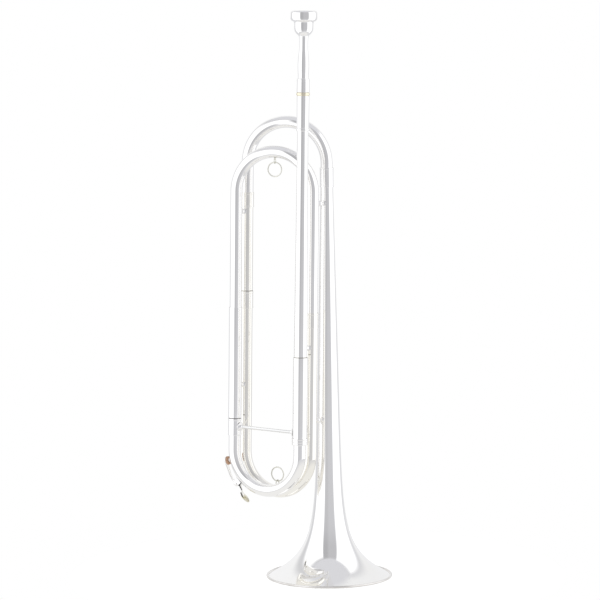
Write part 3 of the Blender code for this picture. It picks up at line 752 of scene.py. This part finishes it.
def make_mouthpiece():
    """Rim, cup, throat and shank, turned in one piece."""
    span = Span("mouthpiece")
    top = span.top
    end = span.bottom
    rim_and_cup = below(top, [
        (0.0110, 0.0), (0.0125, 0.0004), (0.0135, 0.0014), (0.0138, 0.0034),
        (0.0138, 0.0070), (0.0134, 0.0090), (0.0123, 0.0104), (0.0105, 0.0112),
    ])
    body = below(top, [
        (0.0105, 0.0112), (0.0100, 0.0126), (0.0099, 0.0170), (0.0093, 0.0206),
        (0.0074, 0.0236), (0.0053, 0.0256), (0.0046, 0.0290), (0.0045, 0.0375),
        (0.0048, 0.0415), (0.0054, 0.0465), (0.0058, 0.0520), (0.0059, 0.0570),
        (0.0057, 0.0635), (0.0055, 0.0675),
    ]) + [(0.0050, end)]
    backbore = [(0.0041, end)] + below(top, [(0.0019, 0.0330), (0.0019, 0.0275)])
    cup = below(top, [
        (0.0019, 0.0275), (0.0034, 0.0225), (0.0062, 0.0180), (0.0080, 0.0120),
        (0.0086, 0.0055), (0.0091, 0.0018), (0.0098, 0.0004), (0.0108, 0.0),
    ])
    outline = flowing(rim_and_cup)[:-1] + flowing(body) + flowing(backbore)[:-1] + flowing(cup)[:-1]
    put("mouthpiece", turned(outline, steps=96), span.place, "mouthpiece", "silver_plate")


# ---- braces
def hug(radius):
    """How far a foot that lies on a tube of this radius drops at x, y off its middle."""
    return lambda t: radius - math.sqrt(max(radius * radius - t * t, 0.0))


def make_ball_brace(node, from_point, to_point, from_radius, to_radius):
    """A turned post with a ball in its middle and a foot shaped to each tube."""
    along = (to_point - from_point).normalized()
    start = from_point + along * (from_radius + FIT_GAP)
    end = to_point - along * (to_radius + FIT_GAP)
    length = (end - start).length
    place = place_between(start, end)
    across = (place.to_3x3().inverted() @ (COIL.to_3x3() @ along.cross(UP))).normalized()
    ball = 0.0029
    neck = 0.0014
    foot = 0.0032
    thick = 0.0005
    middle = length / 2
    reach = math.acos(neck / ball)
    bulge = [(ball * math.cos(turn), middle + ball * math.sin(turn))
             for turn in blend_steps(reach, -reach, 16)]
    upper = [(0.0, length), (foot - 0.0004, length), (foot, length - 0.0002),
             (foot - 0.0003, length - thick), (neck, length - thick - 0.0001)]
    lower = [(r, length - z) for r, z in reversed(upper)]

    def shift(x, y, z):
        t = x * across.x + y * across.y
        if z > middle + ball * 0.95:
            return z + hug(to_radius)(t)
        if z < middle - ball * 0.95:
            return z - hug(from_radius)(t)
        return z

    work = turned(upper + bulge + lower, closed=False, shift=shift)
    put(node, work, place, "trumpet_frame", "silver_trim")


def on_tube(xy, z):
    return Vector((xy[0], xy[1], z))


def brace_height(node):
    return (TO_COIL @ box_centre(node)).z


def make_braces():
    pairs = (
        ("left_brace_upper", FRONT_LEFT_XY, REAR_LEFT_XY, TUBE_RADIUS),
        ("left_brace_lower", FRONT_LEFT_XY, REAR_LEFT_XY, SLEEVE_RADIUS),
        ("mouthpipe_brace", MOUTHPIPE_XY, MIDDLE_RIGHT_XY, MOUTHPIPE_END_RADIUS),
    )
    for node, front, rear, radius in pairs:
        z = brace_height(node)
        make_ball_brace(node, on_tube(front, z), on_tube(rear, z), radius, TUBE_RADIUS)
    for node in ("bell_brace_upper", "bell_brace_lower"):
        z = brace_height(node)
        make_ball_brace(node, on_tube(MIDDLE_RIGHT_XY, z), bell_axis_in_coil(z), TUBE_RADIUS,
                        bell_radius(z))


# ---- tuning slide
def make_tuning_slide():
    make_bow("slide_bow", "tuning_slide", FRONT_LEFT_XY, MOUTHPIPE_XY, SLIDE_BOW_Z, -1,
             SLIDE_BOW_RADIUS)
    # the inner leg carries the ring of grease and painted shade at the joint
    make_straight_tube("slide_inner_leg", "tuning_slide", TUBE_WALL, "grease_and_shade_plate")
    make_straight_tube("slide_outer_leg", "tuning_slide", 0.0004)
    joint_gap = 0.0003              # the ferrule stops this much short, where the ring of grease and painted shade shows
    make_ferrule("slide_left_ferrule", "tuning_slide", SLIDE_BOW_RADIUS + FIT_GAP,
                 SLIDE_FERRULE_RADIUS, top=Span("slide_left_ferrule").top - joint_gap, lip_top=False)
    make_stepped_ferrule()
    make_slide_brace()


def make_stepped_ferrule():
    span = Span("slide_right_ferrule")
    top = span.top
    bottom = span.bottom
    step = top - 0.0038
    wide = SLIDE_OUTER_RADIUS + FIT_GAP
    narrow = SLIDE_BOW_RADIUS + FIT_GAP
    outline = [
        (0.0084, top), (0.0084, top - 0.0012), (0.0082, top - 0.0015), (0.0082, step + 0.0004),
        (0.0084, step + 0.0001), (0.0081, step - 0.0004), (0.0081, bottom + 0.0005),
        (0.0078, bottom), (narrow, bottom), (narrow, step - 0.0003), (wide, step), (wide, top),
    ]
    put("slide_right_ferrule", turned(rounded(outline, 0.0004)), span.place, "tuning_slide",
        "silver_trim")


def make_slide_brace():
    """The rod across the slide, with a flared foot shaped to the tube at each end."""
    radius = 0.0017
    foot = 0.0030
    left = Vector((-HALF + SLIDE_FERRULE_RADIUS + FIT_GAP, 0.0, SLIDE_BRACE_Z))
    right = Vector((HALF - SLIDE_OUTER_RADIUS - FIT_GAP, 0.0, SLIDE_BRACE_Z))
    flare = [(0.0, foot), (radius + 0.0003, foot), (radius + 0.0005, foot * 0.86),
             (radius + 0.0004, foot * 0.72), (radius + 0.0007, foot * 0.50),
             (0.0034, foot * 0.24), (0.0046, 0.0006), (0.0047, 0.0003), (0.0046, 0.0), (0.0, 0.0)]
    sides = (("slide_brace_foot_left", left, right, SLIDE_FERRULE_RADIUS),
             ("slide_brace_foot_right", right, left, SLIDE_OUTER_RADIUS))
    for node, start, end, tube in sides:
        place = place_between(start, end)
        upright = (place.to_3x3().inverted() @ (COIL.to_3x3() @ UP)).normalized()

        def shift(x, y, z, tube=tube, upright=upright):
            t = x * upright.y - y * upright.x
            return z - hug(tube)(t) * (1.0 - z / foot)

        work = turned(rounded(flare, 0.0005), closed=False, shift=shift)
        put(node, work, place, "tuning_slide", "silver_trim")
    start = left + Vector((foot, 0, 0))
    end = right - Vector((foot, 0, 0))
    length = (end - start).length
    rod = rounded([(0.0, length), (radius, length), (radius, 0.0), (0.0, 0.0)], 0.0002)
    # the rod's darker plate is painted shade
    put("slide_brace_rod", turned(rod, closed=False), place_between(start, end),
        "tuning_slide", "shaded_rod_plate")


# ---- water key
EAR_INNER = 0.0036
EAR_OUTER = 0.0046
EAR_HALF_WIDTH = 0.0030
EAR_TOP = 0.0020                # above the screw's middle
SCREW_RADIUS = 0.0009
CORK_THICKNESS = 0.0028
CORK_INNER = HALF + SLIDE_BOW_RADIUS + FIT_GAP + 0.0014 + FIT_GAP
CORK_OUTER = CORK_INNER + CORK_THICKNESS
KNUCKLE_LOW_Y = 0.0006
KNUCKLE_HIGH_Y = 0.0033


def ear(side):
    """One bored lug of the saddle: round above the screw and straight down to the tube."""
    count = 48
    foot = KEY_PIVOT_HEIGHT - HALF - SLIDE_BOW_RADIUS + 0.0012

    def outline(y, shrink):
        ring = []
        for step in range(count):
            turn = 2 * math.pi * step / count
            reach = 1 / math.hypot(math.cos(turn) / EAR_HALF_WIDTH, math.sin(turn) / EAR_TOP)
            if math.sin(turn) < 0:
                reach = min(EAR_HALF_WIDTH / max(abs(math.cos(turn)), 1e-6),
                            foot / max(abs(math.sin(turn)), 1e-6))
            reach -= shrink
            ring.append(Vector((reach * math.cos(turn), y, reach * math.sin(turn))))
        return ring

    def hole(y):
        return [Vector((a, y, b)) for a, b in circle_section(SCREW_RADIUS + 0.0002, count)]

    soft = 0.00015
    low, high = side * EAR_INNER, side * EAR_OUTER
    step = side * soft
    rings = [outline(low, soft), outline(low + step, 0.0), outline(high - step, 0.0),
             outline(high, soft), hole(high), hole(low)]
    return loft(rings, loop=True)


def saddle_plate():
    """The curved plate that is soldered to the bow under the two ears."""
    drop = KEY_PIVOT_HEIGHT - HALF
    inner = SLIDE_BOW_RADIUS + 0.00005
    outer = inner + 0.0007
    reach = 0.85
    turns = blend_steps(-reach, reach, 18)
    rings = []
    for x, trim in ((-0.0042, 0.10), (-0.0039, 0.0), (0.0039, 0.0), (0.0042, 0.10)):
        top = outer - trim * 0.0015
        span = [t * (1.0 - trim * 0.3) for t in turns]
        over = [Vector((x, top * math.sin(t), top * math.cos(t) - drop)) for t in span]
        under = [Vector((x, inner * math.sin(t), inner * math.cos(t) - drop)) for t in reversed(span)]
        rings.append(over + under)
    return loft(rings, caps=True)


def slotted_head():
    """The pivot screw, with a domed head and a slot for a driver."""
    head = EAR_OUTER + 0.0001
    shaft_end = -EAR_OUTER - 0.0003
    outline = [(0.0, head + 0.00115), (0.0009, head + 0.00105), (0.0015, head + 0.0007),
               (0.0017, head + 0.0003), (0.0017, head), (SCREW_RADIUS, head),
               (SCREW_RADIUS, shaft_end + 0.0002), (SCREW_RADIUS - 0.0002, shaft_end), (0.0, shaft_end)]
    screw = turned(outline, closed=False, steps=40)
    slot_floor = head + 0.0006
    slot_height = 0.0012
    slot = bmesh.new()
    bmesh.ops.create_cube(slot, size=1.0)
    bmesh.ops.scale(slot, vec=(0.0060, 0.00042, slot_height), verts=slot.verts)
    bmesh.ops.rotate(slot, matrix=Matrix.Rotation(math.radians(35), 3, "Z"), verts=slot.verts)
    bmesh.ops.translate(slot, vec=(0.0, 0.0, slot_floor + slot_height / 2), verts=slot.verts)
    return carved(screw, slot)


def spring_path(pivot):
    """Short leg on the bow, two and three quarter turns, then the long leg to the plate."""
    coil = 0.00225
    turns = 2.75
    start_y = -0.0002
    end_y = -0.0030
    steps = 120
    outward = (pivot - Vector((0.0, 0.0, SLIDE_BOW_Z))).normalized()
    down = Vector((outward.z, 0.0, -outward.x))
    points = [pivot - down * coil - outward * 0.0034 + Vector((0.0, start_y, 0.0)),
              pivot - down * coil - outward * 0.0014 + Vector((0.0, start_y, 0.0))]
    for step in range(steps + 1):
        turn = 2 * math.pi * turns * step / steps - math.pi / 2
        y = start_y + (end_y - start_y) * step / steps
        ring = outward * math.cos(turn) + down * math.sin(turn)
        points.append(pivot + ring * coil + Vector((0.0, y, 0.0)))
    tip = key_point(KEY_PLATE_ANGLE - math.radians(6.0), KEY_PLATE_HEIGHT - 0.0058, end_y)
    points += [points[-1].lerp(tip, 0.15), tip]
    return points


def make_water_key():
    pivot_place = outward_place(KEY_PIVOT_ANGLE, KEY_PIVOT_HEIGHT)
    put("key_saddle", join(saddle_plate(), ear(-1), ear(1)), pivot_place, "tuning_slide",
        "silver_trim")
    to_front = Matrix.Rotation(math.pi / 2, 4, "X")
    put("key_pivot_screw", slotted_head(), pivot_place @ to_front, "tuning_slide",
        "silver_trim", name="key_screw_fine")
    foot = SLIDE_BOW_RADIUS
    nipple = [(0.0023, foot + 0.0017), (0.0027, foot + 0.0012), (0.0026, foot + 0.0007),
              (0.0033, foot + 0.0001), (0.0033, foot - 0.0006), (0.0015, foot - 0.0003),
              (0.0015, foot + 0.0015), (0.0018, foot + 0.0017)]
    put("drain_nipple", turned(rounded(nipple, 0.0003), steps=48),
        outward_place(KEY_NIPPLE_ANGLE, HALF), "tuning_slide", "silver_trim")
    pivot = key_point(KEY_PIVOT_ANGLE, KEY_PIVOT_HEIGHT)
    put("key_spring", wire(spring_path(pivot), SPRING_WIRE_RADIUS, 14), COIL, "tuning_slide",
        "spring_steel")
    make_cork()
    make_lever(pivot)


def make_cork():
    """A pressed cork pad, a little swollen at its waist."""
    t = CORK_THICKNESS
    outline = [(0.0, t), (0.0040, t), (0.0043, t - 0.0004), (0.0044, t * 0.5), (0.0043, 0.0004),
               (0.0040, 0.0), (0.0, 0.0)]
    work = turned(rounded(outline, 0.0003), closed=False, steps=56)
    put("key_cork", work, outward_place(KEY_NIPPLE_ANGLE, CORK_INNER), "water_key", "cork")


def make_lever(pivot):
    """Cup, arm, knuckle and finger plate of the key, which are brazed into one."""
    middle_y = (KNUCKLE_LOW_Y + KNUCKLE_HIGH_Y) / 2
    cup_back = key_point(KEY_NIPPLE_ANGLE, CORK_OUTER + 0.0016)
    elbow = key_point(KEY_PIVOT_ANGLE - math.radians(9.0), KEY_PIVOT_HEIGHT + 0.0038, middle_y * 0.8)
    knuckle = pivot + Vector((0.0, middle_y, 0.0))
    plate_centre = key_point(KEY_PLATE_ANGLE, KEY_PLATE_HEIGHT)
    bend = knuckle.lerp(plate_centre, 0.55) + (knuckle - Vector((0, 0, SLIDE_BOW_Z))) * 0.012
    line = flowing([cup_back, elbow, knuckle, bend, plate_centre], 10)
    shape = flowing([Vector((0.0030, 0.0005)), Vector((0.0013, 0.0010)), Vector((0.0014, 0.0014)),
                     Vector((0.0012, 0.0009)), Vector((0.0026, 0.0005))], 10)
    sections = [oval_section(s.x, s.y, 20) for s in shape]
    arm = swept(line, sections, across=Vector((0.0, 1.0, 0.0)))
    cup = turned(rounded([(0.0, 0.0018), (0.0020, 0.0017), (0.0042, 0.0007), (0.0047, 0.0),
                          (0.0047, -0.0009), (0.0044, -0.0009), (0.0043, 0.0001), (0.0, 0.0001)],
                         0.0003), closed=False, steps=56)
    barrel = turned(rounded([(0.0019, KNUCKLE_HIGH_Y), (0.0019, KNUCKLE_LOW_Y),
                             (SCREW_RADIUS, KNUCKLE_LOW_Y), (SCREW_RADIUS, KNUCKLE_HIGH_Y)],
                            0.00025), steps=40)
    to_back = Matrix.Rotation(-math.pi / 2, 4, "X")
    settle(cup, TO_COIL @ outward_place(KEY_NIPPLE_ANGLE, CORK_OUTER + 0.0001))
    settle(barrel, TO_COIL @ outward_place(KEY_PIVOT_ANGLE, KEY_PIVOT_HEIGHT) @ to_back)
    plate = finger_plate()
    settle(plate, Matrix.Translation(plate_centre) @ Matrix.Rotation(math.radians(43.0), 4, "Y"))
    put("key_lever", join(arm, cup, barrel, plate), COIL, "water_key", "worn_trim")


def finger_plate():
    """An oval touch, slightly crowned on its outer side and thicker at its edge."""
    long = 0.0070
    short = 0.0043
    crown = 0.0008
    rings = [[Vector((0.0, 0.0, -0.0004 - crown))]]
    for share in (0.25, 0.5, 0.7, 0.85, 0.94):
        rings.append(oval(long * share, short * share, -0.0004 - crown * (1.0 - share ** 2)))
    rings.append(oval(long * 0.985, short * 0.985, -0.00035))
    rings.append(oval(long, short, 0.0))
    rings.append(oval(long * 0.985, short * 0.985, 0.00030))
    for share in (0.94, 0.85, 0.5):
        rings.append(oval(long * share, short * share, 0.00025 - crown * (1.0 - share ** 2)))
    rings.append([Vector((0.0, 0.0, 0.00025 - crown))])
    return loft(rings)


# ---- cord rings
def make_cord_ring(ring_node, body, hinge, toward_tube):
    """A loose ring in a soldered wire eye."""
    axis = TO_COIL.to_3x3() @ Vector(joint(hinge)["axis"])
    heading = math.atan2(axis.y, axis.x)
    coil_turn = COIL.to_3x3().to_4x4() @ Matrix.Rotation(heading, 4, "Z")

    def upright(node, axis):
        stand = Matrix.Rotation(math.pi / 2, 4, axis)
        return Matrix.Translation(box_centre(node)) @ coil_turn @ stand

    ring = torus(0.0074, circle_section(0.00065, 18))
    put(ring_node, ring, upright(ring_node, "X"), body, "tarnished_plate")
    eyelet_node = ring_node + "_eyelet"
    eye = torus(0.0026, circle_section(0.0005, 16))
    solder = turned(rounded([(0.0, 0.0036), (0.0020, 0.0036), (0.0013, 0.0033), (0.0008, 0.0027),
                             (0.0, 0.0024)], 0.0004), closed=False, steps=32)
    settle(solder, Matrix.Rotation(-math.pi / 2 * toward_tube, 4, "Y"))
    put(eyelet_node, join(eye, solder), upright(eyelet_node, "Y"), "trumpet_frame",
        "tarnished_trim")


# ---- studio and camera
CAMERA_AZIMUTH = math.radians(32.63)
CAMERA_ELEVATION = math.radians(6.52)
CAMERA_DISTANCE = 3.081
CAMERA_ROLL = math.radians(-0.449)
CAMERA_LENS = 179.3
CAMERA_TARGET = Vector((0.0113, -0.0466, 0.2969))


def toward_camera(elevation):
    return Vector((math.sin(CAMERA_AZIMUTH) * math.cos(elevation),
                   -math.cos(CAMERA_AZIMUTH) * math.cos(elevation), math.sin(elevation)))


def make_camera():
    back = toward_camera(CAMERA_ELEVATION)
    level = UP.cross(back).normalized()
    upright = back.cross(level)
    right = level * math.cos(CAMERA_ROLL) + upright * math.sin(CAMERA_ROLL)
    turn = Matrix((right, back.cross(right), back)).transposed().to_4x4()
    data = bpy.data.cameras.new("camera")
    data.lens = CAMERA_LENS
    data.sensor_width = 36.0
    camera = bpy.data.objects.new("camera", data)
    bpy.context.scene.collection.objects.link(camera)
    camera.matrix_world = Matrix.Translation(CAMERA_TARGET + back * CAMERA_DISTANCE) @ turn
    bpy.context.scene.camera = camera


# The light is a round photographer's tent of glowing cards: a white wall to each side, a grey
# lid, a grey card round the opening for the camera and a pale one under the object. They stand
# near enough that each tube mirrors them from its own place, and the camera doesn't see them.
# The world behind shows between them. Directions are counted from the side of the camera.
TENT_RADIUS = 0.51
TENT_HEIGHT = 1.1
LEFT_WALL = ((26, 34), (104, 120))       # the soft near edge and the soft far edge, in degrees
RIGHT_WALL = ((34, 43), (110, 124))
LID_RADIUS = 0.72
LID_FORWARD = 0.13                       # its middle, from the axis towards the camera
SOFTBOX_WHITE = (1.17, 1.18, 1.21)
TABLE_GREY = (0.880, 0.878, 0.875)
CEILING = (0.710, 0.716, 0.758)
GAP_RADIUS = 0.56                        # the card round the opening, outside the walls
GAP_HEIGHT = 1.2
GAP_LOW_LEFT = (0.565, 0.569, 0.595)
GAP_LOW_RIGHT = (0.615, 0.619, 0.650)
GAP_HIGH_LEFT = (0.465, 0.468, 0.490)
GAP_HIGH_RIGHT = (0.540, 0.543, 0.570)
DARK_CORNER_LEFT = (0.665, 0.670, 0.695)
DARK_CORNER_RIGHT = (0.720, 0.725, 0.755)
BACK_WALL_LEFT = (0.935, 0.940, 0.955)
BACK_WALL_RIGHT = (0.890, 0.895, 0.910)
LOW_BACK = (0.760, 0.765, 0.790)


def soft_step(tree, value, low, high):
    """0 below low, 1 above high and a soft edge between."""
    node = tree.nodes.new("ShaderNodeMapRange")
    node.interpolation_type = "SMOOTHSTEP"
    node.inputs["From Min"].default_value = low
    node.inputs["From Max"].default_value = high
    tree.links.new(value, node.inputs["Value"])
    return node.outputs["Result"]


def under(tree, value, low, high):
    """1 below low, 0 above high and a soft edge between."""
    return opposite(tree, soft_step(tree, value, low, high))


def soft_angle(tree, value, low, high):
    return soft_step(tree, value, math.radians(low), math.radians(high))


def between(tree, value, near, far):
    """1 from near to far, each given as the two ends of its soft edge in degrees."""
    inside = soft_angle(tree, value, *near)
    beyond = soft_angle(tree, value, *far)
    return times(tree, inside, opposite(tree, beyond))


def round_and_up(tree, kind):
    """Angle round from the camera's side, positive to its right, and the third coordinate."""
    x, y, z = coordinates(tree, kind)

    def along(direction):
        return math_node(tree, "ADD", times(tree, x, direction.x), times(tree, y, direction.y))

    ahead = toward_camera(0.0)
    return math_node(tree, "ARCTAN2", along(UP.cross(ahead)), along(ahead)), z


def distance_from_axis(tree):
    squares = [times(tree, c, c) for c in coordinates(tree, "Object")[:2]]
    return math_node(tree, "SQRT", math_node(tree, "ADD", *squares))


def stage_piece(name, work, height):
    piece = new_object(name, work)
    piece.location.z = height
    return piece


def disc(radius):
    return turned([(0.0, 0.0), (radius, 0.0)], closed=False, steps=96)


def glowing_card(piece, colour, share):
    """A card that only shines; share(tree) tells how much of it there is at a place.

    Its colour is either fixed or, as colour(tree), another for each place.
    """
    material = bpy.data.materials.new(piece.name)
    material.use_nodes = True
    tree = material.node_tree
    tree.nodes.clear()
    glow = tree.nodes.new("ShaderNodeEmission")
    if isinstance(colour, tuple):
        glow.inputs["Color"].default_value = (*colour, 1.0)
    else:
        tree.links.new(colour(tree), glow.inputs["Color"])
    clear = tree.nodes.new("ShaderNodeBsdfTransparent")
    mix = tree.nodes.new("ShaderNodeMixShader")
    output = tree.nodes.new("ShaderNodeOutputMaterial")
    tree.links.new(share(tree), mix.inputs["Fac"])
    tree.links.new(clear.outputs["BSDF"], mix.inputs[1])
    tree.links.new(glow.outputs["Emission"], mix.inputs[2])
    tree.links.new(mix.outputs["Shader"], output.inputs["Surface"])
    piece.data.materials.append(material)
    piece.visible_camera = False
    piece.visible_diffuse = False
    piece.visible_shadow = False


def make_floor():
    """The pale floor that is seen. In reflections the tent's slightly greyer card replaces it."""
    floor = stage_piece("floor", disc(0.26), -0.0001)
    material, _, shader = new_material("white_floor", 0.0, 0.8)
    shader.inputs["Base Color"].default_value = (0.9, 0.9, 0.9, 1.0)
    shader.inputs["Emission Color"].default_value = (1.0, 1.0, 1.0, 1.0)
    shader.inputs["Emission Strength"].default_value = 0.45
    floor.data.materials.append(material)
    floor.visible_glossy = False


def table_share(tree):
    return under(tree, distance_from_axis(tree), 0.22, 0.48)


def lid_share(tree):
    return under(tree, distance_from_axis(tree), 0.44, 0.70)


def wall_share(tree):
    """A wall to each side of the camera. The right one starts farther round and is taller."""
    turn, height = round_and_up(tree, "Object")
    leftward = times(tree, turn, -1.0)
    left = times(tree, between(tree, leftward, *LEFT_WALL), under(tree, height, 0.72, 1.02))
    right = times(tree, between(tree, turn, *RIGHT_WALL),
                  under(tree, height, 0.88, TENT_HEIGHT))
    return math_node(tree, "MAXIMUM", left, right)


def gap_share(tree):
    turn, height = round_and_up(tree, "Object")
    round_by = math_node(tree, "ABSOLUTE", turn)
    across = opposite(tree, soft_angle(tree, round_by, 60, 90))
    return times(tree, across, under(tree, height, 0.90, GAP_HEIGHT))


def gap_colour(tree):
    """The opening for the camera: darker higher up, where the camera stands, and on the left."""
    turn, height = round_and_up(tree, "Object")
    high = soft_step(tree, height, 0.05, 0.50)
    left = mixed(tree, high, GAP_LOW_LEFT, GAP_HIGH_LEFT)
    right = mixed(tree, high, GAP_LOW_RIGHT, GAP_HIGH_RIGHT)
    return mixed(tree, soft_angle(tree, turn, -14, 4), left, right)


def make_tent():
    glowing_card(stage_piece("tent_floor", disc(TENT_RADIUS), -0.0003), TABLE_GREY, table_share)
    lid = stage_piece("tent_lid", disc(LID_RADIUS), TENT_HEIGHT)
    lid.location += toward_camera(0.0) * LID_FORWARD
    glowing_card(lid, CEILING, lid_share)
    wall = turned([(TENT_RADIUS, 0.0), (TENT_RADIUS, TENT_HEIGHT)], closed=False, steps=192)
    glowing_card(stage_piece("tent_wall", wall, 0.0), SOFTBOX_WHITE, wall_share)
    gap = turned([(GAP_RADIUS, 0.0), (GAP_RADIUS, GAP_HEIGHT)], closed=False, steps=192)
    glowing_card(stage_piece("tent_gap", gap, 0.0), gap_colour, gap_share)


def make_world():
    """What shows past the tent: dark corners and a pale back wall, or plain white when seen."""
    world = bpy.data.worlds.new("studio")
    world.use_nodes = True
    bpy.context.scene.world = world
    tree = world.node_tree
    tree.nodes.clear()
    turn, up = round_and_up(tree, "Generated")
    rise = math_node(tree, "ARCSINE", up)
    round_by = math_node(tree, "ABSOLUTE", turn)
    back = mixed(tree, soft_angle(tree, turn, -10, 10), BACK_WALL_LEFT, BACK_WALL_RIGHT)
    wall = mixed(tree, soft_angle(tree, rise, -8, 1), LOW_BACK, back)
    corner = mixed(tree, soft_angle(tree, turn, -10, 10), DARK_CORNER_LEFT, DARK_CORNER_RIGHT)
    behind = mixed(tree, soft_angle(tree, round_by, 128, 146), corner, wall)
    light_path = tree.nodes.new("ShaderNodeLightPath")
    studio = tree.nodes.new("ShaderNodeBackground")
    tree.links.new(behind, studio.inputs["Color"])
    backdrop = tree.nodes.new("ShaderNodeBackground")
    mix = tree.nodes.new("ShaderNodeMixShader")
    output = tree.nodes.new("ShaderNodeOutputWorld")
    backdrop.inputs["Color"].default_value = (1.0, 1.0, 1.0, 1.0)
    tree.links.new(light_path.outputs["Is Camera Ray"], mix.inputs["Fac"])
    tree.links.new(studio.outputs["Background"], mix.inputs[1])
    tree.links.new(backdrop.outputs["Background"], mix.inputs[2])
    tree.links.new(mix.outputs["Shader"], output.inputs["Surface"])
    bpy.context.scene.view_settings.view_transform = "Standard"


make_bell()
make_rim_wire()
make_coil()
make_mouthpipe()
make_receiver()
make_mouthpiece()
make_braces()
make_tuning_slide()
make_water_key()
make_cord_ring("top_ring", "top_cord_ring", "top_ring_swing", 1)
make_cord_ring("bottom_ring", "bottom_cord_ring", "bottom_ring_swing", -1)
make_camera()
make_floor()
make_tent()
make_world()
